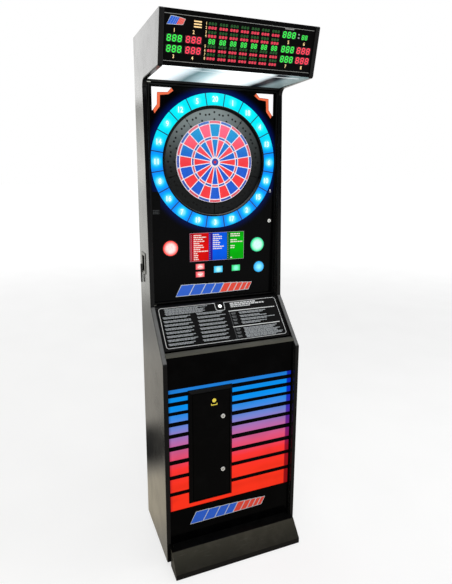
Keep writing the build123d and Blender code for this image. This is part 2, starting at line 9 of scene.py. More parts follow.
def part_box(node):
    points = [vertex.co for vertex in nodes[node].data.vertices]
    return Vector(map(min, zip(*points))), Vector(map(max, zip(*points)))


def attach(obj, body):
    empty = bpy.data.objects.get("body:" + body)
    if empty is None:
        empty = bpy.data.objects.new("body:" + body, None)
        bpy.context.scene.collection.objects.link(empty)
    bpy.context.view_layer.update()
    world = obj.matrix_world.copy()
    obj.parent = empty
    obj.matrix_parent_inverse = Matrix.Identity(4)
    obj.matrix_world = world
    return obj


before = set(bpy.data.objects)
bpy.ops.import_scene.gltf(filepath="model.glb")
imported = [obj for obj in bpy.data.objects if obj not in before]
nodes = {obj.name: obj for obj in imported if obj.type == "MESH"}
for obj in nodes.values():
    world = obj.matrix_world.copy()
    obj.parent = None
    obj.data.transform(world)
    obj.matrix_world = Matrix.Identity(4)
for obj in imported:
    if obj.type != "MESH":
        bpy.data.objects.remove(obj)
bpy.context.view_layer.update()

scene = bpy.context.scene
scene.view_settings.view_transform = "Standard"
scene.view_settings.look = "None"

# ------------------------------------------------------------------ frames (mm in, metres out)
PANEL_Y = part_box("menu_panel")[0].y * 1000 + 0.6  # face of the door panel
lo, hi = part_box("number_ring")
BULL = (0, PANEL_Y / 1000, (lo.z + hi.z) / 2)


def door_f(x, v, w):
    return Vector((x, PANEL_Y - w, BULL[2] * 1000 + v)) / 1000


def lid_f(x, y, w):
    return Vector((x, 53.5 + 0.6957 * y - 0.7184 * w, 1120.0 + 0.7184 * y + 0.6957 * w)) / 1000


def head_f(x, y, w):
    return Vector((x, -206.5 - 0.2204 * y - 0.97526 * w, 2225.0 + 0.97526 * y - 0.2204 * w)) / 1000


LIGHT_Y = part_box("light_panel")[0].y * 1000
LOWER_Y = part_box("lower_front_panel")[0].y * 1000


def light_f(x, z, w):
    return Vector((x, LIGHT_Y - w, z)) / 1000


def lower_f(x, z, w):
    return Vector((x, LOWER_Y - w, z)) / 1000


# ------------------------------------------------------------------ node graph helper
class G:
    def __init__(self, name):
        self.m = bpy.data.materials.new(name)
        self.m.use_nodes = True
        self.t = self.m.node_tree
        self.b = self.t.nodes["Principled BSDF"]

    def node(self, kind, **props):
        n = self.t.nodes.new(kind)
        for k, v in props.items():
            setattr(n, k, v)
        return n

    def put(self, sock, val):
        if isinstance(val, bpy.types.NodeSocket):
            self.t.links.new(val, sock)
        elif val is not None:
            if sock.type == "RGBA" and hasattr(val, "__len__") and len(val) == 3:
                val = (*val, 1)
            sock.default_value = val

    def math(self, op, a, b=None, c=None, clamp=False):
        n = self.node("ShaderNodeMath", operation=op, use_clamp=clamp)
        for i, v in enumerate((a, b, c)):
            if v is not None:
                self.put(n.inputs[i], v)
        return n.outputs[0]

    def vmath(self, op, a, b=None):
        n = self.node("ShaderNodeVectorMath", operation=op)
        self.put(n.inputs[0], a)
        if b is not None:
            self.put(n.inputs[1], b)
        return n.outputs["Value"] if op in ("DOT_PRODUCT", "LENGTH", "DISTANCE") else n.outputs[0]

    def obj(self):
        if not hasattr(self, "_o"):
            self._o = self.node("ShaderNodeTexCoord").outputs["Object"]
        return self._o

    def xyz(self):
        if not hasattr(self, "_x"):
            self._x = self.node("ShaderNodeSeparateXYZ")
            self.t.links.new(self.obj(), self._x.inputs[0])
        return self._x.outputs

    def noise(self, scale, detail=4, rough=0.5, stretch=None, dist=0.0):
        v = self.obj()
        if stretch:
            v = self.vmath("MULTIPLY", v, stretch)
        n = self.node("ShaderNodeTexNoise")
        self.put(n.inputs["Vector"], v)
        n.inputs["Scale"].default_value = scale
        n.inputs["Detail"].default_value = detail
        n.inputs["Roughness"].default_value = rough
        n.inputs["Distortion"].default_value = dist
        return n.outputs[0]

    def voronoi(self, scale, feature="F1"):
        n = self.node("ShaderNodeTexVoronoi", feature=feature)
        self.put(n.inputs["Vector"], self.obj())
        n.inputs["Scale"].default_value = scale
        return n.outputs["Distance"]

    def ramp(self, fac, stops, interp="LINEAR"):
        n = self.node("ShaderNodeValToRGB")
        n.color_ramp.interpolation = interp
        e = n.color_ramp.elements
        while len(e) > len(stops):
            e.remove(e[-1])
        while len(e) < len(stops):
            e.new(0.5)
        for el, (p, c) in zip(e, stops):
            el.position = p
            el.color = (*c, 1) if len(c) == 3 else c
        self.put(n.inputs[0], fac)
        return n.outputs[0]

    def remap(self, v, a, b, c, d, smooth=False):
        n = self.node("ShaderNodeMapRange")
        if smooth:
            n.interpolation_type = "SMOOTHSTEP"
        self.put(n.inputs[0], v)
        for i, k in enumerate((a, b, c, d)):
            self.put(n.inputs[i + 1], k)
        return n.outputs[0]

    def mix(self, f, a, b, mode="MIX"):
        n = self.node("ShaderNodeMix", data_type="RGBA", blend_type=mode)
        self.put(n.inputs[0], f)
        self.put(n.inputs[6], a)
        self.put(n.inputs[7], b)
        return n.outputs[2]

    def bump(self, h, strength=0.2, dist=0.001, prev=None):
        n = self.node("ShaderNodeBump")
        n.inputs["Strength"].default_value = strength
        n.inputs["Distance"].default_value = dist
        self.put(n.inputs["Height"], h)
        if prev is not None:
            self.put(n.inputs["Normal"], prev)
        return n.outputs[0]

    def set(self, **kw):
        names = dict(
            color="Base Color", rough="Roughness", metal="Metallic", ior="IOR", coat="Coat Weight",
            coat_rough="Coat Roughness", spec="Specular IOR Level", normal="Normal", emit="Emission Color",
            power="Emission Strength", trans="Transmission Weight", aniso="Anisotropic", sss="Subsurface Weight",
        )
        for k, v in kw.items():
            self.put(self.b.inputs[names[k]], v)
        return self.m


def lin(r, g, b):
    f = lambda c: (c / 255 / 12.92) if c <= 10.3 else ((c / 255 + 0.055) / 1.055) ** 2.4
    return (f(r), f(g), f(b))


MATS = {}


def material(name):
    def deco(fn):
        MATS[name] = fn()
        return MATS[name]

    return deco


def dusty(g, base, dust, amount=0.25, scale=9.0):
    """Base colour broken up by faint smears of dust, and the smear mask itself."""
    smear = g.noise(scale, 6, 0.62)
    fine = g.noise(220, 3, 0.6)
    mask = g.math("MULTIPLY", g.remap(smear, 0.48, 0.75, 0, 1), g.remap(fine, 0.3, 0.7, 0.5, 1))
    return g.mix(g.math("MULTIPLY", mask, amount), base, dust), mask


# ------------------------------------------------------------------ materials
def laminate():
    g = G("laminate_black")
    col, mask = dusty(g, (0.012, 0.012, 0.0118), (0.05, 0.05, 0.042), 0.3, 5)
    pebble = g.voronoi(900)
    grain = g.noise(1400, 2)
    n = g.bump(pebble, 0.10, 0.00012)
    n = g.bump(grain, 0.06, 0.0001, n)
    rough = g.math("ADD", g.remap(g.noise(12, 5), 0.3, 0.7, 0.17, 0.25), g.math("MULTIPLY", mask, 0.12))
    return g.set(color=col, rough=rough, normal=n, ior=1.55, coat=0.35, coat_rough=0.2)


def moulding():
    g = G("edge_moulding")
    col, mask = dusty(g, (0.002, 0.002, 0.0024), (0.014, 0.014, 0.015), 0.25, 14)
    nz = g.node("ShaderNodeSeparateXYZ")
    g.put(nz.inputs[0], g.node("ShaderNodeTexCoord").outputs["Normal"])
    upfacing_sheen_mask = g.math("MULTIPLY", g.remap(nz.outputs["Z"], 0.3, 0.9, 0, 0.9), g.remap(g.noise(30, 5, 0.6), 0.3, 0.7, 0.75, 1.0))
    col = g.mix(upfacing_sheen_mask, col, (0.20, 0.203, 0.20))  # painted highlight: up-facing lengths are made pale grey, standing in for the overhead light they reflect
    scuff = g.noise(90, 6, 0.7, (1, 1, 0.15))
    rough = g.math("ADD", g.remap(scuff, 0.4, 0.75, 0.14, 0.34), g.math("MULTIPLY", mask, 0.1))
    return g.set(color=col, rough=rough, normal=g.bump(g.noise(500, 3), 0.08, 0.0002), ior=1.25)


def board():
    g = G("board_black")
    fib = g.noise(60, 8, 0.7, (1, 1, 0.2))
    col = g.mix(g.remap(fib, 0.35, 0.7, 0, 1), (0.018, 0.017, 0.016), (0.04, 0.036, 0.032))
    n = g.bump(g.noise(420, 4), 0.25, 0.0004)
    return g.set(color=col, rough=g.remap(fib, 0.3, 0.7, 0.5, 0.75), normal=n)


def acrylic(name="door_acrylic", tint=(0.0012, 0.0012, 0.0016), spec=0.05):
    g = G(name)
    col, mask = dusty(g, tint, (0.012, 0.012, 0.013), 0.22, 7)
    hair = g.noise(260, 2, 0.5, (1, 0.02, 0.12))
    rough = g.math("ADD", g.remap(hair, 0.45, 0.8, 0.08, 0.2), g.math("MULTIPLY", mask, 0.15))
    return g.set(color=col, rough=rough, normal=g.bump(g.noise(6, 3), 0.03, 0.002), ior=1.45, spec=spec)


def door_acrylic():
    """Black acrylic with a painted glow: blue light from the lit ring round the target, given out by the acrylic
    itself and stronger towards the top.
    """
    g = G("door_acrylic")
    col, mask = dusty(g, (0.0010, 0.0010, 0.0014), (0.010, 0.010, 0.011), 0.2, 7)
    d = g.vmath("SUBTRACT", g.obj(), BULL)
    r = g.vmath("LENGTH", d)
    halo = g.remap(r, 0.280, 0.325, 1, 0, True)
    up = g.remap(g.vmath("DOT_PRODUCT", d, (0, 0, 1)), -0.3, 0.28, 0.5, 1.0)
    # painted glow of the lit ring on the acrylic, stronger towards the top
    blue = g.mix(g.math("MULTIPLY", g.math("MULTIPLY", halo, halo), up), (0, 0, 0), (0.0, 0.008, 0.10))
    hair = g.noise(260, 2, 0.5, (1, 0.02, 0.12))
    rough = g.math("ADD", g.remap(hair, 0.45, 0.8, 0.12, 0.24), g.math("MULTIPLY", mask, 0.15))
    return g.set(color=col, rough=rough, normal=g.bump(g.noise(6, 3), 0.03, 0.002), ior=1.45, spec=0.05, emit=blue, power=1.0)


def satin_black(name="frame_black", base=(0.003, 0.003, 0.0034), r0=0.28, r1=0.42, spec=0.12):
    g = G(name)
    col, mask = dusty(g, base, tuple(0.008 + 2.2 * c for c in base), 0.25, 10)
    peel = g.noise(380, 3)
    rough = g.math("ADD", g.remap(g.noise(30, 5), 0.3, 0.7, r0, r1), g.math("MULTIPLY", mask, 0.12))
    return g.set(color=col, rough=rough, normal=g.bump(peel, 0.12, 0.0003), spec=spec)


def silver():
    """Satin silver sheet with a painted sheen: light and dark bands of reflection painted across its width, also given
    out as glow.
    """
    g = G("visor_silver")
    brush = g.noise(420, 4, 0.6, (0.03, 1, 1))
    x = g.xyz()["X"]
    wave = g.math("MULTIPLY", g.math("SUBTRACT", g.noise(5, 2), 0.5), 0.05)
    # painted reflection: light and dark bands across the width, used for both colour and glow
    sheen = g.ramp(
        g.math("ADD", g.remap(x, -0.292, 0.292, 0, 1), wave),
        [(0.0, lin(244, 248, 249)), (0.09, lin(248, 250, 250)), (0.16, lin(214, 224, 230)), (0.25, lin(98, 120, 126)), (0.33, lin(160, 182, 188)),
         (0.41, lin(236, 242, 244)), (0.52, lin(252, 252, 252)), (0.66, lin(247, 250, 250)), (0.725, lin(196, 208, 212)), (0.768, lin(8, 16, 24)), (0.82, lin(10, 20, 28)),
         (0.88, lin(112, 130, 134)), (1.0, lin(100, 116, 118))],
    )
    col = g.mix(g.remap(brush, 0.3, 0.7, 0, 0.35), sheen, (0.7, 0.7, 0.7), "MULTIPLY")
    glow_ = g.mix(g.remap(brush, 0.3, 0.7, 0.0, 0.5), sheen, (0.86, 0.86, 0.86), "MULTIPLY")
    return g.set(color=col, rough=g.remap(brush, 0.3, 0.7, 0.34, 0.5), metal=0.12, spec=0.05, normal=g.bump(brush, 0.05, 0.0002), emit=glow_, power=0.84)


def steel(name="brushed_steel", base=(0.62, 0.63, 0.62), stretch=(0.03, 1, 1)):
    g = G(name)
    brush = g.noise(500, 4, 0.6, stretch)
    col = g.mix(g.remap(brush, 0.35, 0.7, 0, 1), base, tuple(c * 0.7 for c in base))
    return g.set(color=col, metal=1.0, rough=g.remap(brush, 0.3, 0.7, 0.16, 0.36), normal=g.bump(brush, 0.06, 0.0002))


def chrome():
    g = G("lock_chrome")
    wear = g.noise(240, 5, 0.65)
    col = g.mix(g.remap(wear, 0.5, 0.75, 0, 0.6), (0.86, 0.86, 0.86), (0.5, 0.5, 0.48))
    return g.set(color=col, metal=1.0, rough=g.remap(wear, 0.35, 0.75, 0.08, 0.3), normal=g.bump(wear, 0.05, 0.0001))


def nickel():
    g = G("lock_nickel")
    wear = g.noise(240, 5, 0.65)
    col = g.mix(g.remap(wear, 0.5, 0.75, 0, 0.5), (0.93, 0.93, 0.92), (0.6, 0.6, 0.58))
    return g.set(color=col, metal=0.45, rough=g.remap(wear, 0.35, 0.75, 0.25, 0.42), normal=g.bump(wear, 0.05, 0.0001))


def ring_light():
    g = G("ring_light")
    x = g.xyz()["X"]
    d = g.vmath("SUBTRACT", g.obj(), BULL)
    v = g.vmath("DOT_PRODUCT", d, (0, 0, 1))
    ang = g.math("ARCTAN2", x, v)  # 0 at the top
    u = g.math("ADD", g.math("DIVIDE", ang, 2 * pi / 20), 100.5)
    f = g.math("SUBTRACT", g.math("FRACT", u), 0.5)  # -0.5..0.5 across one sector
    r = g.math("SQRT", g.math("ADD", g.math("MULTIPLY", x, x), g.math("MULTIPLY", v, v)))
    arc = g.math("MULTIPLY", f, 0.0810)
    dr = g.math("SUBTRACT", r, 0.258)
    dist = g.math("SQRT", g.math("ADD", g.math("MULTIPLY", arc, arc), g.math("MULTIPLY", dr, dr)))
    hot = g.remap(dist, 0.006, 0.038, 1, 0, True)
    high = g.remap(v, 0.02, 0.15, 0, 1, True)
    right = g.remap(x, -0.1, 0.28, 0, 0.35, True)
    low = g.mix(hot, lin(0, 142, 254), lin(0, 228, 255))
    top = g.mix(hot, lin(0, 238, 252), lin(0, 250, 255))
    col = g.mix(g.math("MAXIMUM", high, 0.0), low, top)
    core = g.math("MULTIPLY", g.remap(dist, 0.004, 0.022, 0.5, 0, True), g.remap(v, 0.0, 0.2, 1.0, 0.4, True))
    col = g.mix(core, col, lin(215, 254, 255))
    edge = g.remap(g.math("ABSOLUTE", f), 0.465, 0.49, 1, 0.35)
    mottled = g.math("MULTIPLY", edge, g.remap(g.noise(60, 3), 0.3, 0.7, 0.93, 1.05))
    col = g.mix(1.0, col, g.ramp(mottled, [(0, (0, 0, 0)), (1, (1, 1, 1))]), "MULTIPLY")
    return g.set(color=(0.0, 0.02, 0.04), rough=0.25, spec=0.15, emit=col, power=1.0, normal=g.bump(g.noise(800, 2), 0.04, 0.0001))


def catch():
    """Pebbled grey rubber with painted lighting, lighter and glowing towards the top and darker towards the bottom and
    right; each dart hole has a countersink with painted shade, and painted shade lies under the lip at the outer rim.
    """
    g = G("catch_ring_grey")
    d = g.vmath("SUBTRACT", g.obj(), BULL)
    x = g.xyz()["X"]
    v = g.vmath("DOT_PRODUCT", d, (0, 0, 1))
    u = g.math("ADD", g.math("DIVIDE", g.math("ARCTAN2", x, v), 2 * pi / 20), 100.5)
    f = g.math("SUBTRACT", g.math("FRACT", u), 0.5)
    r = g.math("SQRT", g.math("ADD", g.math("MULTIPLY", x, x), g.math("MULTIPLY", v, v)))
    near = None
    for r0, a0 in ((0.206, 0), (0.1775, 0), (0.197, radians(6.6))):
        arc = g.math("MULTIPLY", g.math("SUBTRACT", g.math("MULTIPLY", g.math("ABSOLUTE", f), 2 * pi / 20), a0), r0)
        dr = g.math("SUBTRACT", r, r0)
        q = g.math("SQRT", g.math("ADD", g.math("MULTIPLY", arc, arc), g.math("MULTIPLY", dr, dr)))
        near = q if near is None else g.math("MINIMUM", near, q)
    # painted shade round each dart hole, also dented in as a countersink
    countersink_and_shade = g.remap(near, 0.0034, 0.0052, 1, 0, True)
    # painted lighting: lighter towards the top, darker towards the bottom and right; it also drives a painted glow
    shade = g.math("POWER", g.remap(v, -0.15, 0.22, 0, 1, True), 1.95)
    shade = g.math("MULTIPLY", shade, g.remap(x, 0.0, 0.2, 1.0, 0.5, True))
    col = g.mix(shade, (0.0035, 0.0045, 0.0052), (0.150, 0.180, 0.182))
    # pale specks in the rubber, made stronger where the painted lighting is bright
    spark = g.noise(900, 3, 0.7)
    col = g.mix(g.math("MULTIPLY", g.remap(spark, 0.45, 0.7, 0, 0.3), g.math("ADD", shade, 0.12)), col, (0.16, 0.17, 0.17))
    col = g.mix(countersink_and_shade, col, (0.0015, 0.0015, 0.002))
    # painted shade under the lip: the outer rim is made black
    rim = g.remap(r, 0.2186, 0.2194, 0, 1)
    col = g.mix(rim, col, (0.0015, 0.0015, 0.002))
    n = g.bump(g.voronoi(800), 0.35, 0.0003)
    n = g.bump(countersink_and_shade, -0.5, 0.001, n)
    return g.set(color=col, rough=g.remap(spark, 0.3, 0.7, 0.45, 0.65), normal=n, spec=0.22, emit=g.mix(shade, (0, 0, 0), col), power=0.85)


def segment(name, low, high, glow):
    g = G(name)
    d = g.vmath("SUBTRACT", g.obj(), BULL)
    x = g.xyz()["X"]
    v = g.vmath("DOT_PRODUCT", d, (0, 0, 1))
    # tip holes: a staggered grid, 5.2 mm pitch
    P = 0.0052
    row = g.math("DIVIDE", v, P * 0.866)
    odd = g.math("MULTIPLY", g.math("MODULO", g.math("ADD", g.math("FLOOR", row), 1000), 2), 0.5)
    fx = g.math("SUBTRACT", g.math("FRACT", g.math("ADD", g.math("DIVIDE", x, P), g.math("ADD", odd, 100))), 0.5)
    fy = g.math("MULTIPLY", g.math("SUBTRACT", g.math("FRACT", g.math("ADD", row, 100)), 0.5), 0.866)
    hd = g.math("SQRT", g.math("ADD", g.math("MULTIPLY", fx, fx), g.math("MULTIPLY", fy, fy)))
    hole = g.remap(hd, 0.22, 0.30, 0, 1, True)
    # painted light: lighter towards the top, as if lit from above
    lit = g.remap(v, -0.02, 0.17, 0, 1, True)
    col = g.mix(lit, low, high)
    worn = g.remap(g.noise(45, 5, 0.6), 0.35, 0.75, 0.0, 0.22)
    col = g.mix(worn, col, tuple(min(1, c * 1.25 + 0.03) for c in low))
    # painted shade in the tip holes
    dark = g.mix(g.remap(hole, 0, 1, 0.62, 1.0), (0, 0, 0), col)
    n = g.bump(hole, 0.6, 0.0012)
    n = g.bump(g.noise(1200, 2), 0.08, 0.0002, n)
    # painted glow: the segments give out their own colour, standing in for lamp light falling on them
    return g.set(color=dark, rough=0.42, normal=n, emit=dark, power=glow, spec=0.25)


def spider_white():
    g = G("spider_white")
    grime = g.noise(70, 6, 0.65)
    col = g.mix(g.remap(grime, 0.45, 0.75, 0, 1), (0.86, 0.80, 0.88), (0.62, 0.57, 0.62))
    d = g.vmath("SUBTRACT", g.obj(), BULL)
    # painted glow: the white plastic gives out its own colour, standing in for lamp light falling on it
    return g.set(color=col, rough=0.38, normal=g.bump(g.noise(900, 2), 0.06, 0.0002), emit=col, power=0.36)


def grey_paint(name, base, dust, rough0=0.35, rough1=0.55, amount=0.5):
    g = G(name)
    col, mask = dusty(g, base, dust, amount, 12)
    scr = g.noise(160, 4, 0.6, (0.1, 1, 1))
    col = g.mix(g.remap(scr, 0.62, 0.72, 0, 0.35), col, tuple(c * 1.7 for c in base))
    return g.set(color=col, rough=g.remap(g.noise(40, 5), 0.3, 0.7, rough0, rough1), normal=g.bump(g.noise(600, 3), 0.12, 0.0003))


def rubber():
    g = G("foot_rubber")
    return g.set(color=g.mix(g.noise(60, 4), (0.012, 0.012, 0.012), (0.035, 0.034, 0.032)), rough=0.7, normal=g.bump(g.noise(700, 3), 0.3, 0.0004))


def circuit():
    g = G("circuit_green")
    tr = g.node("ShaderNodeTexBrick")
    g.put(tr.inputs["Vector"], g.obj())
    tr.inputs["Scale"].default_value = 60
    col = g.mix(tr.outputs[1], (0.01, 0.09, 0.035), (0.02, 0.17, 0.07))
    return g.set(color=col, rough=0.35)


def lit_button(name, centre, radius, core, rim, power=0.9, inner=0.15):
    g = G(name)
    d = g.vmath("DISTANCE", g.obj(), tuple(centre))
    f = g.remap(d, inner * radius, radius, 0, 1, True)
    cloud = g.noise(120, 3)
    col = g.mix(f, core, rim)
    col = g.mix(g.remap(cloud, 0.3, 0.7, 0, 0.25), col, tuple(c * 0.6 for c in rim))
    return g.set(color=tuple(c * 0.5 for c in rim), rough=0.18, emit=col, power=power, coat=0.4, coat_rough=0.06,
                 normal=g.bump(g.noise(700, 2), 0.03, 0.0001))


def glow(name, color, power=1.0, base=None, grain=0.18, rough=0.35):
    g = G(name)
    n = g.noise(300, 3, 0.6)
    col = g.mix(g.remap(n, 0.3, 0.7, 0, grain), color, tuple(c * 0.55 for c in color))
    return g.set(color=base or tuple(c * 0.3 for c in color), rough=rough, emit=col, power=power)


def printed(name, color, power=0.0, wear=0.3):
    g = G(name)
    n = g.noise(420, 5, 0.65)
    col = g.mix(g.remap(n, 0.5, 0.75, 0, wear), color, tuple(c * 0.35 for c in color))
    return g.set(color=col, rough=0.35, emit=col, power=power)


STRIPES = [
    (798.4, 815, (30, 125, 215)), (759.9, 779.6, (0, 145, 240)), (715.9, 741.5, (0, 145, 242)), (669.1, 700.1, (55, 138, 230)),
    (615.9, 649.9, (118, 132, 210)), (558.4, 597.6, (178, 108, 175)), (493.4, 537.7, (222, 84, 126)), (422.2, 473.6, (250, 52, 50)),
    (342.4, 403.9, (250, 50, 30)), (252, 324.2, (248, 50, 26)),
]


def stripes_mat():
    g = G("stripe_light")
    z = g.xyz()["Z"]
    f = g.remap(z, 0.250, 0.815, 0, 1)
    stops = []
    for z0, z1, c in reversed(STRIPES):
        stops.append((((z0 + z1) / 2 - 250) / 565, lin(*c)))
    col = g.ramp(f, stops)
    # brighter and hazier where a light bar stands behind
    bar = g.math("ABSOLUTE", g.math("SUBTRACT", g.math("FRACT", g.math("DIVIDE", g.math("SUBTRACT", z, 0.244), 0.058)), 0.5))
    haze = g.remap(bar, 0, 0.5, 1.04, 0.93)
    cloud = g.remap(g.noise(9, 4), 0.3, 0.7, 0.9, 1.08)
    k = g.math("MULTIPLY", haze, cloud)
    col = g.mix(1.0, col, g.ramp(k, [(0, (0, 0, 0)), (1, (1, 1, 1))]), "MULTIPLY")
    # painted shade: the last 20 mm at the right is darkened and turned bluish, standing in for the light box's dark
    # side wall seen behind the print
    dim = g.mix(1.0, col, (0.30, 0.10, 0.62), "MULTIPLY")
    edge = g.remap(g.xyz()["X"], 0.2610, 0.2680, 0, 1, True)
    col = g.mix(edge, col, dim)
    left = g.remap(g.xyz()["X"], -0.285, -0.272, 0.35, 0, True)
    col = g.mix(left, col, (0.0, 0.0, 0.02))
    return g.set(color=(0.001, 0.001, 0.001), rough=0.35, emit=col, power=1.0, spec=0.04)


def menu_mat():
    g = G("menu_backlit")
    x = g.xyz()["X"]
    f = g.remap(x, -0.1186, 0.1386, 0, 1)
    R, R2, B, B2, GR, G2 = lin(222, 8, 6), lin(178, 8, 30), lin(0, 94, 238), lin(48, 20, 140), lin(0, 182, 10), lin(0, 104, 24)
    col = g.ramp(f, [(0.0, R2), (0.06, R), (0.338, B2), (0.41, B), (0.672, G2), (0.735, GR)], "CONSTANT")
    z = g.xyz()["Z"]
    spot = g.remap(g.math("ABSOLUTE", g.math("SUBTRACT", z, 1.365)), 0, 0.07, 1.1, 0.8)
    k = g.math("MULTIPLY", spot, g.remap(g.noise(22, 3), 0.3, 0.7, 0.85, 1.05))
    col = g.mix(1.0, col, g.ramp(k, [(0, (0, 0, 0)), (1, (1, 1, 1))]), "MULTIPLY")
    return g.set(color=(0.001, 0.001, 0.001), rough=0.25, emit=col, power=1.0, spec=0.04)


M_LAM, M_MOULD, M_BOARD, M_ACR, M_FRAME = laminate(), moulding(), board(), door_acrylic(), satin_black()
M_DISPLAY = satin_black("display_black", (0.0010, 0.0010, 0.0012), 0.3, 0.5, 0.04)
M_WINDOW = acrylic("led_window", (0.0028, 0.0016, 0.002), 0.06)
M_CHROME, M_STEEL = chrome(), steel()
M_ZINC = steel("zinc_plate", (0.42, 0.42, 0.38), (1, 1, 1))
# each segment: colour towards the bottom, painted lighter colour towards the top, strength of the painted glow
M_RED = segment("segment_red", lin(222, 50, 56), lin(246, 108, 140), 0.60)
M_BLUE = segment("segment_blue", lin(18, 82, 190), lin(34, 158, 206), 0.60)
M_DIM_RED = segment("segment_red_edge", lin(210, 84, 98), lin(226, 116, 134), 0.48)
M_DIM_BLUE = segment("segment_blue_edge", lin(48, 80, 168), lin(80, 122, 196), 0.48)
M_INNER = satin_black("inner_black", (0.02, 0.02, 0.02), 0.45, 0.6)
M_LEDGE = grey_paint("ledge_grey", (0.105, 0.105, 0.088), (0.2, 0.19, 0.16))


def kick():
    g = G("kick_paint")
    # painted reflection: the black-painted plate is given the grey-olive of the overhead light it reflects
    col, mask = dusty(g, (0.046, 0.044, 0.032), (0.11, 0.10, 0.08), 0.5, 12)
    scr = g.noise(160, 4, 0.6, (0.1, 1, 1))
    col = g.mix(g.remap(scr, 0.60, 0.72, 0, 0.4), col, (0.10, 0.098, 0.08))
    z = g.xyz()["Z"]
    # darker towards the bottom
    col = g.mix(1.0, col, g.ramp(g.remap(z, 0.027, 0.09, 0, 1), [(0, (0.45, 0.45, 0.46)), (1, (1, 1, 1))]), "MULTIPLY")
    slope = g.math("MULTIPLY", g.remap(z, 0.0262, 0.0272, 0, 1), g.remap(z, 0.0905, 0.0912, 1, 0))
    col = g.mix(slope, (0.0015, 0.0015, 0.0015), col)
    return g.set(color=col, rough=g.remap(g.noise(40, 5), 0.3, 0.7, 0.32, 0.5), normal=g.bump(g.noise(600, 3), 0.12, 0.0003), spec=0.14)


def rails():
    """Black paint with a painted reflection: grey-olive on the front ledge for the overhead light it reflects, black
    on the shelf behind the rules lid.
    """
    g = G("rail_paint")
    # painted reflection on the front ledge
    col, mask = dusty(g, (0.088, 0.088, 0.074), (0.17, 0.165, 0.14), 0.45, 12)
    col = g.mix(g.remap(g.xyz()["Z"], 1.04, 1.05, 0, 1), col, (0.004, 0.004, 0.0045))
    return g.set(color=col, rough=g.remap(g.noise(40, 5), 0.3, 0.7, 0.35, 0.5), normal=g.bump(g.noise(600, 3), 0.12, 0.0003), spec=0.25)


def coin_face():
    """Satin plate with bright worn edges round a throat; everything set back behind the plate's face is made
    near-black.
    """
    g = G("coin_plate")
    x = g.xyz()["X"]
    wear = g.noise(200, 5, 0.6)
    col = g.mix(g.remap(wear, 0.4, 0.7, 0, 1), (0.16, 0.16, 0.15), (0.30, 0.30, 0.28))
    # everything set back behind the plate's face is made near-black
    col = g.mix(g.remap(x, -0.3118, -0.3108, 0, 1), col, (0.003, 0.003, 0.003))
    return g.set(color=col, metal=0.4, rough=g.remap(wear, 0.3, 0.7, 0.25, 0.45), normal=g.bump(wear, 0.06, 0.0002), spec=0.3)


M_KICK = kick()
M_COIN = grey_paint("coin_metal", (0.50, 0.50, 0.47), (0.3, 0.3, 0.27), 0.25, 0.45)
M_RULES = acrylic("rules_acrylic", (0.0016, 0.0016, 0.0018), 0.03)

ASSIGN = {
    "side_panel_left": M_LAM, "side_panel_right": M_LAM, "lower_front_panel": acrylic("lower_front_gloss", (0.0010, 0.0010, 0.0012), 0.03),
    "edge_mouldings": M_MOULD, "target_lip": M_MOULD, "back_panel": M_BOARD, "service_cover": M_BOARD,
    "top_and_bottom_panels": M_BOARD, "door_panel": M_ACR, "display_panel": M_DISPLAY, "led_windows": M_WINDOW,
    "visor_panel": silver(), "head_rail": satin_black("rail_black", (0.006, 0.006, 0.0066), 0.4, 0.55, 0.2), "cash_box": M_ZINC, "service_screws": M_STEEL,
    "number_ring": ring_light(), "catch_ring": catch(), "spider": spider_white(), "singles_red": M_RED,
    "multiples_red": M_DIM_RED, "singles_blue": M_BLUE, "multiples_blue": M_DIM_BLUE,
    "bull_inner": segment("bull_red", lin(205, 30, 60), lin(220, 60, 90), 0.4),
    "bull_outer": segment("bull_blue", lin(40, 74, 175), lin(50, 90, 185), 0.35),
    "menu_panel": menu_mat(), "button_bezels": satin_black("bezel_black", (0.02, 0.02, 0.02), 0.2, 0.34),
    "door_lock_barrel": M_CHROME, "rules_lock_barrel": M_CHROME, "cash_lock_barrels": nickel(), "door_lock_cam": M_STEEL,
    "rules_lock_cam": M_STEEL, "cash_lock_upper": M_STEEL, "cash_lock_lower": M_STEEL, "brackets_and_strikes": M_ZINC,
    "power_supply": M_ZINC, "coin_mech": M_ZINC, "light_panel": satin_black("light_panel_print", (0.0008, 0.0008, 0.0014), 0.25, 0.4, 0.03),
    "cash_surround": satin_black("cash_surround_black", (0.0012, 0.0012, 0.0014), 0.26, 0.38, 0.05),
    "cash_door": satin_black("cash_door_black", (0.0010, 0.0010, 0.0012), 0.3, 0.42, 0.04), "door_frame": M_FRAME,
    "cross_rails": rails(), "levelling_feet": rubber(), "coin_bezel": coin_face(),
    "coin_lever": satin_black("lever_black", (0.02, 0.02, 0.02), 0.3, 0.45), "circuit_boards": circuit(), "door_boards": circuit(),
    "light_box": M_INNER, "head_housing": M_INNER, "button_switches": M_INNER, "loudspeaker": M_INNER,
    "light_bars": glow("lamp_diffuser", (0.8, 0.86, 0.9), 0.7), "kick_plate": M_KICK, "rules_plate": M_RULES,
}
C_BTN = {
    "button_left": (lin(255, 240, 236), lin(236, 52, 44)),
    "button_right": (lin(225, 255, 248), lin(10, 205, 138)),
    "button_blue": (lin(150, 244, 255), lin(0, 158, 222)),
    "button_up": (lin(255, 214, 208), lin(226, 76, 84)),
    "button_down": (lin(255, 204, 198), lin(222, 66, 78)),
    "button_cyan": (lin(195, 252, 255), lin(30, 178, 222)),
    "button_green": (lin(140, 255, 225), lin(10, 198, 108)),
}
for b, (core, rim) in C_BTN.items():
    q0, q1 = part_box(b)
    q = (q0 + q1) / 2
    rad = (q1.x - q0.x) / 2
    ASSIGN[b] = lit_button("lit_" + b, (q.x, q0.y, q.z), rad, core, rim, 1.0, 0.45 if b in ("button_left", "button_right") else 0.1)
for name, o in nodes.items():
    o.data.materials.clear()
    o.data.materials.append(ASSIGN[name])
    for p in o.data.polygons:
        p.material_index = 0


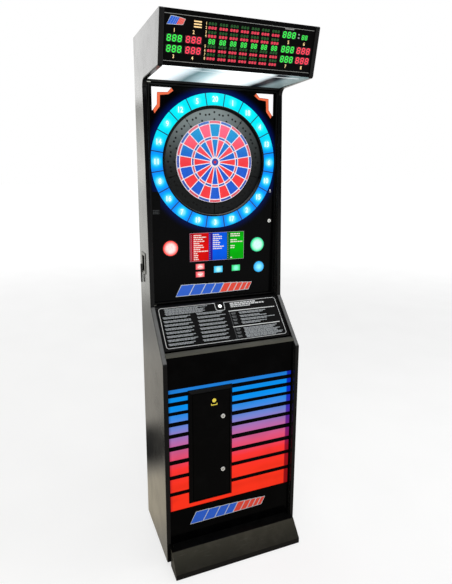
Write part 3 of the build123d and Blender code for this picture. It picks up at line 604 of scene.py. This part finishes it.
# ------------------------------------------------------------------ mesh helpers
class Piece:
    """One mesh built from prisms, closed solids that stand w0..w1 (mm) off a plane."""

    def __init__(self, name, mats, body, slot=None):
        self.name, self.body, self.slot = name, body, slot
        self.mats = mats if isinstance(mats, (list, tuple)) else [mats]
        self.bm = bmesh.new()

    def prism(self, f, pts, w0, w1, mat=0, inset=0.0):
        area = sum(pts[i][0] * pts[(i + 1) % len(pts)][1] - pts[(i + 1) % len(pts)][0] * pts[i][1] for i in range(len(pts)))
        if area < 0:
            pts = pts[::-1]
        lo_ = [self.bm.verts.new(f(x, y, w0)) for x, y in pts]
        hi_ = [self.bm.verts.new(f(x, y, w1)) for x, y in pts]
        n = len(pts)
        fs = [self.bm.faces.new(hi_), self.bm.faces.new(lo_[::-1])]
        for i in range(n):
            j = (i + 1) % n
            fs.append(self.bm.faces.new((lo_[i], lo_[j], hi_[j], hi_[i])))
        for q in fs:
            q.material_index = mat

    def rect(self, f, x0, x1, y0, y1, w0, w1, mat=0, skew=0.0):
        self.prism(f, [(x0, y0), (x1, y0), (x1 + skew, y1), (x0 + skew, y1)], w0, w1, mat)

    def disc(self, f, x, y, r, w0, w1, mat=0, n=32):
        self.prism(f, [(x + r * cos(2 * pi * i / n), y + r * sin(2 * pi * i / n)) for i in range(n)], w0, w1, mat)

    def band(self, f, outline_out, outline_in, w0, w1, mat=0):
        """A closed ring between two outlines of equal length."""
        n = len(outline_out)
        v = [[self.bm.verts.new(f(x, y, w)) for x, y in o] for o in (outline_out, outline_in) for w in (w0, w1)]
        o0, o1, i0, i1 = v
        for k in range(n):
            j = (k + 1) % n
            for q in ((o1[k], o1[j], i1[j], i1[k]), (o0[j], o0[k], i0[k], i0[j]), (o0[k], o0[j], o1[j], o1[k]), (i0[j], i0[k], i1[k], i1[j])):
                self.bm.faces.new(q).material_index = mat

    def text(self, f, s, x, y, size, w0, w1, mat=0, bold=0.0, rot=0.0, narrow=1.0):
        cu = bpy.data.curves.new("t", "FONT")
        cu.body = s
        cu.size = 1.0
        cu.align_x = "CENTER"
        cu.align_y = "CENTER"
        cu.resolution_u = 4
        cu.offset = bold
        cu.extrude = 0.5
        ob = bpy.data.objects.new("t", cu)
        scene.collection.objects.link(ob)
        me = bpy.data.meshes.new_from_object(ob.evaluated_get(bpy.context.evaluated_depsgraph_get()))
        xs = [v.co.x for v in me.vertices]
        ys = [v.co.y for v in me.vertices]
        cx, cy, h = (min(xs) + max(xs)) / 2, (min(ys) + max(ys)) / 2, max(ys) - min(ys)
        k = size / h
        c, s_ = cos(rot), sin(rot)
        base = len(self.bm.verts)
        for v in me.vertices:
            px, py = (v.co.x - cx) * k * narrow, (v.co.y - cy) * k
            v.co = f(x + px * c - py * s_, y + px * s_ + py * c, w0 + (v.co.z + 0.5) * (w1 - w0))
        for p in me.polygons:
            p.material_index = mat
        tmp = bmesh.new()
        tmp.from_mesh(me)
        bmesh.ops.remove_doubles(tmp, verts=tmp.verts, dist=2e-6)
        bmesh.ops.recalc_face_normals(tmp, faces=tmp.faces)
        tmp.to_mesh(me)
        tmp.free()
        self.bm.from_mesh(me)
        bpy.data.objects.remove(ob)
        bpy.data.curves.remove(cu)
        bpy.data.meshes.remove(me)

    def done(self, bevel=0.0):
        bmesh.ops.recalc_face_normals(self.bm, faces=self.bm.faces)
        me = bpy.data.meshes.new(self.name)
        self.bm.to_mesh(me)
        self.bm.free()
        o = bpy.data.objects.new(self.name, me)
        scene.collection.objects.link(o)
        for m in self.mats:
            me.materials.append(m)
        if bevel:
            b = o.modifiers.new("b", "BEVEL")
            b.width = bevel / 1000
            b.segments = 2
            b.limit_method = "ANGLE"
        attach(o, self.body)
        return o


SEG7 = {"0": "abcdef", "1": "bc", "2": "abged", "3": "abgcd", "4": "fgbc", "5": "afgcd", "6": "afgedc", "7": "abc", "8": "abcdefg", "9": "abcdfg"}


def digit(p, f, ch, cx, cy, w, h, w0, w1, mat, lean=0.12, off=None, thick=0.16):
    t = h * thick
    g = t * 0.10
    hw, hh = w / 2, h / 2
    bars = {
        "a": ((-hw, hh), (hw, hh), 0), "g": ((-hw, 0), (hw, 0), 0), "d": ((-hw, -hh), (hw, -hh), 0),
        "f": ((-hw, 0), (-hw, hh), 1), "b": ((hw, 0), (hw, hh), 1), "e": ((-hw, -hh), (-hw, 0), 1), "c": ((hw, -hh), (hw, 0), 1),
    }
    for key, ((x0, y0), (x1, y1), vert) in bars.items():
        on = key in SEG7[ch]
        if not on and off is None:
            continue
        m = mat if on else off
        q = t / 2
        if vert:
            pts = [(x0, y0 + g), (x0 + q, y0 + g + q), (x0 + q, y1 - g - q), (x0, y1 - g), (x0 - q, y1 - g - q), (x0 - q, y0 + g + q)]
        else:
            pts = [(x0 + g, y0), (x0 + g + q, y0 - q), (x1 - g - q, y0 - q), (x1 - g, y0), (x1 - g - q, y0 + q), (x0 + g + q, y0 + q)]
        p.prism(f, [(cx + a + lean * b, cy + b) for a, b in pts], w0, w1, m)


def number(p, f, s, x0, x1, y0, y1, w0, w1, mat, off=None, thick=0.16):
    n = len(s)
    step = (x1 - x0) / n
    h = (y1 - y0) * 0.80
    for i, ch in enumerate(s):
        digit(p, f, ch, x0 + (i + 0.5) * step, (y0 + y1) / 2, step * 0.56, h, w0, w1, mat, off=off, thick=thick)


# ------------------------------------------------------------------ header
M_G = glow("led_green", lin(40, 235, 70), 1.0, grain=0.1)
M_GD = glow("led_green_dim", lin(12, 88, 26), 1.0, grain=0.3)
M_GO = glow("led_green_off", lin(8, 52, 20), 1.0, grain=0.3)
M_R = glow("led_red", lin(255, 52, 82), 1.0, grain=0.1)
M_RO = glow("led_red_off", lin(96, 10, 26), 1.0, grain=0.3)
M_BEIGE = printed("label_beige", lin(235, 200, 140), 0.55)
M_GREY = printed("label_grey", lin(150, 150, 150), 0.25)
M_SILVER_LINE = printed("silver_line", (0.30, 0.31, 0.30), 0.15)
M_HALO_G = glow("halo_green", lin(0, 34, 10), 1.0, grain=0.4)
M_HALO_R = glow("halo_red", lin(70, 2, 14), 1.0, grain=0.4)

WIN = -3.4
leds = Piece("led_digits", [M_G, M_GD, M_GO, M_R, M_RO, M_HALO_G, M_HALO_R], "cabinet", "smoked_window")
halo = Piece("led_glow", [M_HALO_G, M_HALO_R], "cabinet", "smoked_window")
for x0, x1, s0, s1, val, red in (
    (-283, -225, 80, 103, "888", 0), (-283, -225, 113, 137, "888", 0), (-215, -155, 80, 103, "888", 1), (-215, -155, 113, 137, "888", 1),
    (156, 213, 78, 102, "888", 0), (156, 213, 112, 136, "888", 0), (221, 282, 78, 102, "888", 1), (221, 282, 112, 136, "888", 1),
    (155, 213, 30, 53, "888", 0), (236, 263, 36, 53, "88", 0),
):
    number(leds, head_f, val, x0, x1, -s1, -s0, WIN, WIN + 0.35, 3 if red else 0, thick=0.19)
    halo.rect(head_f, x0, x1, -s1, -s0, WIN - 0.02, WIN + 0.06, 1 if red else 0)
COLS = [-118, -76.5, -36, 5, 46, 86.5, 128]
ROWS = [(35, 1, 4.3), (48, 3, 4.3), (62, 1, 4.3), (74, 3, 4.3), (91, 0, 9), (106.5, 1, 4.3), (120, 3, 4.3), (133, 1, 4.3), (146, 3, 4.3)]
for s, m, h in ROWS:
    for c in COLS:
        if m == 0:
            number(leds, head_f, "88", c - 13, c + 13, -s - h, -s + h, WIN, WIN + 0.35, 0, thick=0.2)
            halo.rect(head_f, c - 13, c + 13, -s - h, -s + h, WIN - 0.02, WIN + 0.06, 0)
        else:
            number(leds, head_f, "888", c - 16.3, c + 16.3, -s - h, -s + h, WIN, WIN + 0.35, m, thick=0.24)
            if m == 3:
                halo.rect(head_f, c - 16.3, c + 16.3, -s - h, -s + h, WIN - 0.02, WIN + 0.06, 1)
leds.done()
halo.done()

labels = Piece("header_labels", [M_BEIGE, M_GREY, M_SILVER_LINE], "cabinet", "display_black")
for ch, x, s in (("1", -255, 67), ("2", -186, 67), ("3", -255, 149), ("4", -186, 149), ("5", 184, 66), ("6", 251, 66), ("7", 184, 148), ("8", 251, 148)):
    labels.text(head_f, ch, x, -s, 12, -4, -3.6, 0, 0.02, narrow=0.85)
for ch, s in (("1", 35), ("2", 48), ("3", 62), ("4", 74), ("5", 106.5), ("6", 120), ("7", 133), ("8", 146)):
    labels.text(head_f, ch, -141, -s, 9, -4, -3.6, 0, 0.015, narrow=0.8)
for k, s in enumerate((33, 41.5, 50)):
    labels.rect(head_f, -186, -158, -s - 2, -s + 2, -4, -3.6, 0)
for i in range(9):
    labels.rect(head_f, 165 + i * 4.2, 168 + i * 4.2, -23.6, -19.8, -4, -3.6, 1)
for s in (36.5, 47.5):  # a plain colon between the two counts
    labels.rect(head_f, 221.5, 227.5, -s - 2.2, -s + 2.2, -4, -3.6, 1)
labels.rect(head_f, -291, 288, -18.6, -17.4, -4, -3.3, 2)
labels.rect(head_f, -291, 288, -164.6, -163.4, -4, -3.3, 2)
labels.done()


# a letterless mark: slanted speed bars, wide to narrow, each with a pale edge
M_MARK_B = printed("mark_blue", lin(14, 82, 190), 0.45, 0.3)
M_MARK_R = printed("mark_red", lin(212, 56, 38), 0.42, 0.3)
M_MARK_W = printed("mark_white", lin(190, 198, 204), 0.28, 0.3)


def mark(p, f, x0, x1, y0, y1, w, split=0.54, rise=0.0):
    """Slanted bars between x0..x1, blue then red, each narrower than the last, with pale edges."""
    h = y1 - y0
    slant = 0.55 * h
    L = x1 - x0 - slant
    e = h * 0.05
    n = 9
    widths = [0.168 * 0.86 ** i for i in range(n)]
    gap = L * (1 - sum(widths)) / (n - 1)
    x = x0
    for i, wd in enumerate(widths):
        a, b = x, x + wd * L
        lift = rise * (a - x0) / L
        ya, yb = y0 + lift + 0.012 * i * h, y1 + lift - 0.03 * i * h
        sa, sb = slant * (ya - y0) / h, slant * (yb - y0) / h
        m = 0 if (a + b) / 2 < x0 + split * L else 1
        p.prism(f, [(a - e + sa, ya - e), (b + e + sa, ya - e), (b + e + sb, yb + e), (a - e + sb, yb + e)], w, w + 0.12, 2)
        p.prism(f, [(a + sa, ya), (b + sa, ya), (b + sb, yb), (a + sb, yb)], w + 0.1, w + 0.3, m)
        x = b + gap


mk = Piece("header_mark", [M_MARK_B, M_MARK_R, M_MARK_W], "cabinet", "display_black")
mark(mk, head_f, -281, -214, -50, -25, -4, 0.6)
mk.done()

# ------------------------------------------------------------------ upper door prints
M_WHITE = glow("chevron_white", lin(252, 250, 252), 0.92, grain=0.06)
M_ORANGE = glow("chevron_orange", lin(236, 104, 62), 0.85, grain=0.15)
M_NUM = glow("number_white", lin(235, 255, 255), 1.0, grain=0.05)
M_DIV = glow("ring_divider", lin(0, 26, 96), 0.7, grain=0.2, base=(0.0, 0.005, 0.02))
chev = Piece("corner_chevrons", [M_WHITE, M_ORANGE], "dart_door", "black_acrylic")
Z2V = lambda z: z - 1730.0
WHITE_L = [(271, 2020.6), (189.6, 2020.6), (205, 2003.6), (249, 2001.2), (251, 1953.6), (269, 1930.7), (271, 1930.7)]
ORANGE_L = [(181, 2009.7), (189, 2019.6), (204.4, 2002.6), (248, 2000.2), (250, 1953.2), (265.5, 1933.5), (261, 1919), (238.7, 1946.8), (236.8, 1990.8), (201.5, 1995.0)]
for sg in (-1, 1):
    chev.prism(door_f, [(sg * x, Z2V(z)) for x, z in WHITE_L], 0, 0.35, 0)
    chev.prism(door_f, [(sg * x, Z2V(z)) for x, z in ORANGE_L], 0, 0.3, 1)
chev.done()

nums = Piece("ring_numbers", M_NUM, "dart_door", "lit_ring")
divs = Piece("ring_dividers", M_DIV, "dart_door", "lit_ring")
ORDER = [20, 1, 18, 4, 13, 6, 10, 15, 2, 17, 3, 19, 7, 16, 8, 11, 14, 9, 12, 5]
for k, nval in enumerate(ORDER):
    a = radians(90 - 18 * k)
    nums.text(door_f, str(nval), 257.5 * cos(a), 257.5 * sin(a), 22.5, 0.5, 0.75, 0, 0.02, 0.0, narrow=0.85)
    b = a + radians(9)
    c, s = cos(b), sin(b)
    H = 1.9
    divs.prism(door_f, [(233 * c + H * s, 233 * s - H * c), (281.4 * c + H * s, 281.4 * s - H * c), (281.4 * c - H * s, 281.4 * s + H * c), (233 * c - H * s, 233 * s + H * c)], 0.5, 0.8, 0)
nums.done()
divs.done()

# menu panel print
M_TXT = glow("menu_text", lin(236, 220, 214), 0.9, grain=0.25)
M_TXTD = glow("menu_text_dim", lin(168, 150, 170), 0.7, grain=0.3)
menu = Piece("menu_print", [M_TXT, M_TXTD], "dart_door", "menu_print")


class Rand:
    def __init__(self, seed):
        self.s = seed

    def __call__(self, a=0.0, b=1.0):
        self.s = (1103515245 * self.s + 12345) % 2147483648
        return a + (b - a) * (self.s / 2147483648)


rnd = Rand(7)


def text_row(p, f, x0, x1, y, h, w0, w1, mat=0, fill=0.92, lo_=3.0, hi_=11.0):
    """A line of dashes of word lengths, standing in for small print."""
    x = x0
    end = x0 + (x1 - x0) * fill
    while x < end - 2:
        wd = min(rnd(lo_, hi_) * h * 0.35, end - x)
        p.rect(f, x, x + wd, y - h / 2, y + h / 2, w0, w1, mat)
        x += wd + h * 0.45


mz0, mz1 = Z2V(1302), Z2V(1427.5)
B = 1.1
for x0, x1, y0, y1 in ((-118.6, 138.6, mz0, mz0 + B), (-118.6, 138.6, mz1 - B, mz1), (-118.6, -118.6 + B, mz0 + B, mz1 - B), (138.6 - B, 138.6, mz0 + B, mz1 - B)):
    menu.rect(door_f, x0, x1, y0, y1, 0.6, 0.8, 1)
MX0, MX1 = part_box("menu_panel")[0].x * 1000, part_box("menu_panel")[1].x * 1000
# (index strip, text from, text to, how wide each of its 13 rows is printed)
MENU = (
    (-115, -101, -34, (0.52, 0.86, 0.62, 0.74, 0.40, 0.62, 0.70, 0.45, 0.99, 0.24, 0.36, 0.28, 0.34)),
    (-29, -11, 53, (0.44, 0.66, 0.70, 0.42, 0.56, 0.48, 0.80, 0.66, 0, 0, 0, 0, 0)),
    (57, 73, 136, (0.72, 0.72, 0, 0.48, 0.92, 0, 0.32, 0.30, 0, 0, 0, 0, 0.12)),
)
for xi, xa, xb, fills in MENU:
    pitch = (mz1 - mz0 - 10) / 13
    for i, fl in enumerate(fills):
        y = mz1 - 6 - (i + 0.5) * pitch
        if fl:
            text_row(menu, door_f, xa, xb, y, 4.4, 0.6, 0.78, 0, fill=fl, lo_=3, hi_=9)
        menu.rect(door_f, xi + 1.5, xi + 5.2, y - 1.5, y + 1.5, 0.6, 0.76, 1)
menu.done()

# plain arrowheads on the two scroll buttons
M_ARROW = glow("arrow_pale", lin(255, 236, 232), 0.95, grain=0.1)
for bname, vz, sg in (("button_up", 1278, 1), ("button_down", 1243.2, -1)):
    face = PANEL_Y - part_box(bname)[0].y * 1000
    ar = Piece(bname + "_arrow", M_ARROW, bname, "button_red")
    o_ = [(0, 5.2), (11, -1.4), (11, -5.2), (0, 1.2), (-11, -5.2), (-11, -1.4)]
    for half in ([o_[0], o_[1], o_[2], o_[3]], [o_[0], o_[3], o_[4], o_[5]]):
        ar.prism(door_f, [(-72.5 + px, Z2V(vz) + sg * py) for px, py in half], face - 0.02, face + 0.16)
    ar.done()

dmk = Piece("door_mark", [M_MARK_B, M_MARK_R, M_MARK_W], "dart_door", "black_acrylic")
mark(dmk, door_f, -184, 186, Z2V(1152), Z2V(1199), 0.0)
dmk.done()

small = Piece("door_small_prints", [M_MARK_W, satin_black("faint_patch", (0.0016, 0.0018, 0.002), 0.45, 0.6, 0.06), printed("faint_text", lin(52, 56, 60), 0.1)], "dart_door", "black_acrylic")
small.disc(door_f, 266, Z2V(1608), 3.6, 0, 0.3, 0, 20)
small.rect(door_f, 261, 271, Z2V(1599), Z2V(1601.5), 0, 0.3, 0)
small.rect(door_f, -281, -245, Z2V(1512), Z2V(1608), 0, 0.12, 1)
for zt in (1530, 1523.5, 1517):
    text_row(small, door_f, -278, -248, Z2V(zt), 3.2, 0.12, 0.2, 2, fill=0.9, lo_=2.5, hi_=6)
small.done()

# ------------------------------------------------------------------ rules plate print
M_RW = printed("rules_white", lin(190, 192, 192), 0.18, 0.35)
M_RG = printed("rules_grey", lin(132, 137, 140), 0.12, 0.45)
M_RD = printed("rules_dim", lin(66, 70, 72), 0.05, 0.5)
rules = Piece("rules_print", [M_RW, M_RG, M_RD], "rules_lid", "rules_print")


def rounded(x0, x1, y0, y1, r, n=6):
    out = []
    for cx, cy, a0 in ((x1 - r, y1 - r, 0), (x0 + r, y1 - r, 90), (x0 + r, y0 + r, 180), (x1 - r, y0 + r, 270)):
        for i in range(n + 1):
            a = radians(a0 + 90 * i / n)
            out.append((cx + r * cos(a), cy + r * sin(a)))
    return out


TOP = -4.8  # the outline's upper edge, broken by a notch for the lock
OUT = [(21.5, TOP), (266, TOP)] + [(266 + 12 * cos(radians(a)), TOP - 12 + 12 * sin(radians(a))) for a in (75, 60, 45, 30, 15, 0)]
OUT += [(278 - 12 + 12 * cos(radians(a)), -194 + 12 + 12 * sin(radians(a))) for a in (0, -15, -30, -45, -60, -75, -90)]
OUT += [(-266 + 12 * cos(radians(a)), -182 + 12 * sin(radians(a))) for a in (-90, -105, -120, -135, -150, -165, -180)]
OUT += [(-266 + 12 * cos(radians(a)), TOP - 12 + 12 * sin(radians(a))) for a in (180, 165, 150, 135, 120, 105, 90)]
OUT += [(-21.5, TOP), (-20, -36), (-17.6, -40.6), (-13, -43), (13, -43), (17.6, -40.6), (20, -36)]
n_ = len(OUT)
inner = []
for i, (x, y) in enumerate(OUT):
    (xa, ya), (xb, yb) = OUT[i - 1], OUT[(i + 1) % n_]
    d1 = Vector((x - xa, y - ya)).normalized()
    d2 = Vector((xb - x, yb - y)).normalized()
    n1, n2 = Vector((d1.y, -d1.x)), Vector((d2.y, -d2.x))
    m_ = (n1 + n2) / max(0.35, 1 + n1.dot(n2))
    inner.append((x + 2.0 * m_.x, y + 2.0 * m_.y))
rules.band(lid_f, OUT, inner, 0, 0.3, 0)


def block(x0, x1, s0, s1, groups, mats, lines=2, h=3.7, fill=(0.86, 0.99)):
    """Groups of closely set lines, the way a printed rule sheet looks from a few steps away."""
    pitch = (s1 - s0) / groups
    for gi in range(groups):
        top = s0 + gi * pitch
        for li in range(lines):
            last = li == lines - 1
            text_row(rules, lid_f, x0 + (0 if li == 0 else 3), x1, -(top + h / 2 + li * (h + 1.5)), h, 0, 0.2, mats,
                     fill=rnd(*fill) * (0.9 if last else 1.0), lo_=6, hi_=15)


block(-253, -28, 11, 43, 3, 1, 2, 3.6, (0.55, 0.98))
block(-266, -131, 49, 190, 8, 1)
block(-116, 17, 45, 190, 8, 1)
for s_, h, fill in ((14.5, 6.5, 0.66), (23.5, 6.5, 0.9), (32, 4.5, 0.5)):
    text_row(rules, lid_f, 50, 240, -s_, h, 0, 0.25, 0, fill=fill, lo_=4, hi_=8)
for s_ in (52.5, 131.5):
    rules.rect(lid_f, 34, 262, -s_ - 2.0, -s_ + 2.0, 0, 0.3, 0)
rules.rect(lid_f, 36, 37.4, -190, -56, 0, 0.25, 2)
block(42, 66, 62, 126, 4, 2, 2, 3.6)
block(42, 66, 141, 190, 3, 2, 2, 3.6)
block(80, 262, 61, 96, 2, 1, 2, 4.0, (0.55, 0.85))
block(80, 262, 95, 127, 2, 1, 2, 4.0, (0.5, 0.99))
block(80, 266, 140, 190, 3, 1, 3, 3.9, (0.7, 0.99))
rules.done()

# ------------------------------------------------------------------ lower front
st = Piece("light_stripes", stripes_mat(), "cabinet", "light_stripes")
cx0, cx1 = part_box("cash_surround")[0].x * 1000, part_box("cash_surround")[1].x * 1000
wz0, wz1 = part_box("light_panel")[0].z * 1000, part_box("light_panel")[1].z * 1000
surround_top, surround_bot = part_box("cash_surround")[1].z * 1000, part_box("cash_surround")[0].z * 1000
for z0, z1, c in STRIPES:
    spans = [(-284.4, cx0 - 0.3), (cx1 + 0.3, 284.4)]
    for x0, x1 in spans:
        st.rect(light_f, x0, x1, z0, z1, 0, 0.5)
    if z1 > surround_top + 0.5:
        st.rect(light_f, cx0 - 0.3, cx1 + 0.3, max(z0, surround_top + 0.3), z1, 0, 0.5)
    if z0 < surround_bot - 0.5:
        st.rect(light_f, cx0 - 0.3, cx1 + 0.3, z0, min(z1, surround_bot - 0.3), 0, 0.5)
st.done()
lmk = Piece("lower_mark", [M_MARK_B, M_MARK_R, M_MARK_W], "cabinet", "black_laminate")
mark(lmk, lower_f, -197, 172, 169, 220, 0.0)
lmk.done()

# ------------------------------------------------------------------ cash door icon: a coin over a tray
CASH_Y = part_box("cash_door")[0].y * 1000
cash_f = lambda x, z, w: Vector((x, CASH_Y - w, z)) / 1000
M_YEL = printed("icon_yellow", lin(225, 205, 70), 0.35, 0.25)
icon = Piece("cash_icon", M_YEL, "cash_door", "cash_black")
icon.disc(cash_f, -90, 745, 9, 0, 0.3, 0, 28)
icon.rect(cash_f, -104, -76, 723, 727, 0, 0.3)
icon.rect(cash_f, -104, -101, 727, 732, 0, 0.3)
icon.rect(cash_f, -79, -76, 727, 732, 0, 0.3)
icon.done()

# thin dark pads and strips behind both sets of vents: dark sheets standing in for the shade inside the cabinet
vent_shade_pads = Piece("vent_shade_sheet", satin_black("vent_shade_black", (0.004, 0.004, 0.0042), 0.7, 0.85, 0.1), "cabinet", "inner_black")
COVER_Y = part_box("service_cover")[0].y * 1000
back_f = lambda x, z, w: Vector((x, COVER_Y - w, z)) / 1000
vent_shade_pads.rect(back_f, -128, 128, 1944, 2064, 0.2, 2.4)
for i in range(12):
    vent_shade_pads.rect(back_f, -126 + i * 21.6, -125 + i * 21.6 + 4, 1946, 2062, 2.35, 3.0)
for i in range(15):
    vent_shade_pads.rect(back_f, -154 + i * 20.7, -150 + i * 20.7, 897, 1021, 3.3, 4.2)
vent_shade_pads.rect(back_f, -156, 156, 895, 1023, 1.3, 3.4)
vent_shade_pads.done()

# ------------------------------------------------------------------ stage, lights, camera
def stage_mesh(name, verts, faces, mat):
    me = bpy.data.meshes.new(name)
    me.from_pydata(verts, [], faces)
    me.materials.append(mat)
    o = bpy.data.objects.new(name, me)
    scene.collection.objects.link(o)
    return o


gf = G("floor_pale")
fr = gf.vmath("LENGTH", gf.vmath("MULTIPLY", gf.obj(), (1, 1, 0)))
# seamless white to the lens; what it throws back on the gloss is dimmer close in, as a sheet under soft boxes is
seen = gf.remap(fr, 2.0, 9.0, 0.70, 1.0, True)
far = gf.remap(fr, 1.1, 7.0, 0.0, 1.0, True)
thrown = gf.mix(far, (0.30, 0.27, 0.215), (1.08, 1.08, 1.03))
dark_spot = gf.remap(gf.vmath("DISTANCE", gf.obj(), (-0.48, 0.85, 0)), 0.12, 0.38, 1.0, 0.0, True)
warm = gf.remap(gf.vmath("DISTANCE", gf.obj(), (-0.42, 0.34, 0)), 0.10, 0.36, 0.75, 0.0, True)
thrown = gf.mix(warm, thrown, (0.62, 0.53, 0.36))
thrown = gf.mix(dark_spot, thrown, (0.0, 0.0, 0.0))
dim_spot = gf.remap(gf.vmath("DISTANCE", gf.obj(), (-1.0, 3.5, 0)), 0.35, 1.5, 0.6, 0.0, True)
thrown = gf.mix(dim_spot, thrown, (0.06, 0.06, 0.055))
lpf = gf.node("ShaderNodeLightPath")
grain_f = gf.remap(gf.noise(2.5, 4), 0.3, 0.7, 0.97, 1.0)
shown = gf.ramp(gf.math("MULTIPLY", seen, grain_f), [(0, (0, 0, 0)), (1, (1, 1, 1))])
gf.set(color=gf.mix(lpf.outputs["Is Camera Ray"], gf.mix(dark_spot, (0.34, 0.34, 0.335), (0.03, 0.03, 0.03)), (0.34, 0.34, 0.335)), rough=0.8, spec=0.05, emit=gf.mix(lpf.outputs["Is Camera Ray"], thrown, shown), power=1.0)
stage_mesh("floor", [(-60, -60, 0), (60, -60, 0), (60, 60, 0), (-60, 60, 0)], [(0, 1, 2, 3)], gf.m)

world = bpy.data.worlds.new("studio")
scene.world = world
world.use_nodes = True
wt = world.node_tree
bg = wt.nodes["Background"]
tc = wt.nodes.new("ShaderNodeTexCoord")
sep = wt.nodes.new("ShaderNodeSeparateXYZ")
wt.links.new(tc.outputs["Generated"], sep.inputs[0])
mr = wt.nodes.new("ShaderNodeMapRange")
mr.interpolation_type = "SMOOTHSTEP"
wt.links.new(sep.outputs["Y"], mr.inputs[0])
for i, v in enumerate((0.1, 0.75, 0.0, 1.0)):
    mr.inputs[i + 1].default_value = v
zr = wt.nodes.new("ShaderNodeMapRange")
zr.interpolation_type = "SMOOTHSTEP"
wt.links.new(sep.outputs["Z"], zr.inputs[0])
for i, v in enumerate((0.0, 0.20, 1.0, 0.17)):
    zr.inputs[i + 1].default_value = v
back = wt.nodes.new("ShaderNodeVectorMath")
back.operation = "SCALE"
back.inputs[0].default_value = (1.5, 1.49, 1.41)
wt.links.new(zr.outputs[0], back.inputs["Scale"])
mx = wt.nodes.new("ShaderNodeMix")
mx.data_type = "RGBA"
wt.links.new(mr.outputs[0], mx.inputs[0])
mx.inputs[6].default_value = (0.085, 0.09, 0.10, 1)
wt.links.new(back.outputs[0], mx.inputs[7])
lp = wt.nodes.new("ShaderNodeLightPath")
cam_mix = wt.nodes.new("ShaderNodeMix")
cam_mix.data_type = "RGBA"
wt.links.new(lp.outputs["Is Camera Ray"], cam_mix.inputs[0])
wt.links.new(mx.outputs[2], cam_mix.inputs[6])
cam_mix.inputs[7].default_value = (1.0, 1.0, 1.0, 1)
wt.links.new(cam_mix.outputs[2], bg.inputs[0])


def area(name, loc, target, size, power, color=(1, 1, 1), size_y=None, spec=1.0):
    l = bpy.data.lights.new(name, "AREA")
    l.energy = power
    l.color = color
    l.size = size
    if size_y:
        l.shape = "RECTANGLE"
        l.size_y = size_y
    l.specular_factor = spec
    o = bpy.data.objects.new(name, l)
    scene.collection.objects.link(o)
    o.location = loc
    o.rotation_euler = (Vector(target) - Vector(loc)).to_track_quat("-Z", "Y").to_euler()
    return o


area("key", (-1.2, -2.6, 4.6), (0, -0.2, 0.9), 2.6, 68, (1, 0.99, 0.97), spec=0.12)
area("fill_right", (3.4, -0.6, 2.6), (0, 0, 1.0), 2.4, 40, (0.97, 0.98, 1.0), spec=0.4)
area("left_soft", (-3.6, 0.6, 1.8), (-0.3, 0, 1.1), 2.6, 24, (1, 0.99, 0.95), spec=0.3)
area("overhead", (1.15, -1.32, 4.4), (1.15, -1.2, 1.0), 3.5, 60, (1, 1, 1), size_y=1.8, spec=1.0)
area("back_floor", (-0.6, 3.2, 3.2), (-0.5, 1.2, 0.0), 2.6, 30, (1, 1, 1), spec=0.0)

cam_d = bpy.data.cameras.new("camera")
cam = bpy.data.objects.new("camera", cam_d)
scene.collection.objects.link(cam)
scene.camera = cam
a, e, r = radians(21.77), radians(-11.87), radians(0.18)
fwd = Vector((sin(a) * cos(e), cos(a) * cos(e), sin(e)))
right = Vector((cos(a), -sin(a), 0))
up = right.cross(fwd)
R = cos(r) * right + sin(r) * up
U = -sin(r) * right + cos(r) * up
m = Matrix((R, U, -fwd)).transposed().to_4x4()
m.translation = Vector((-0.75526, -1.89754, 1.69405))
cam.matrix_world = m
cam_d.sensor_width = 36
cam_d.lens = 483.7 / 584 * 36
cam_d.shift_x = 0.0043
cam_d.shift_y = -0.0336
cam_d.clip_end = 100

bpy.context.view_layer.update()
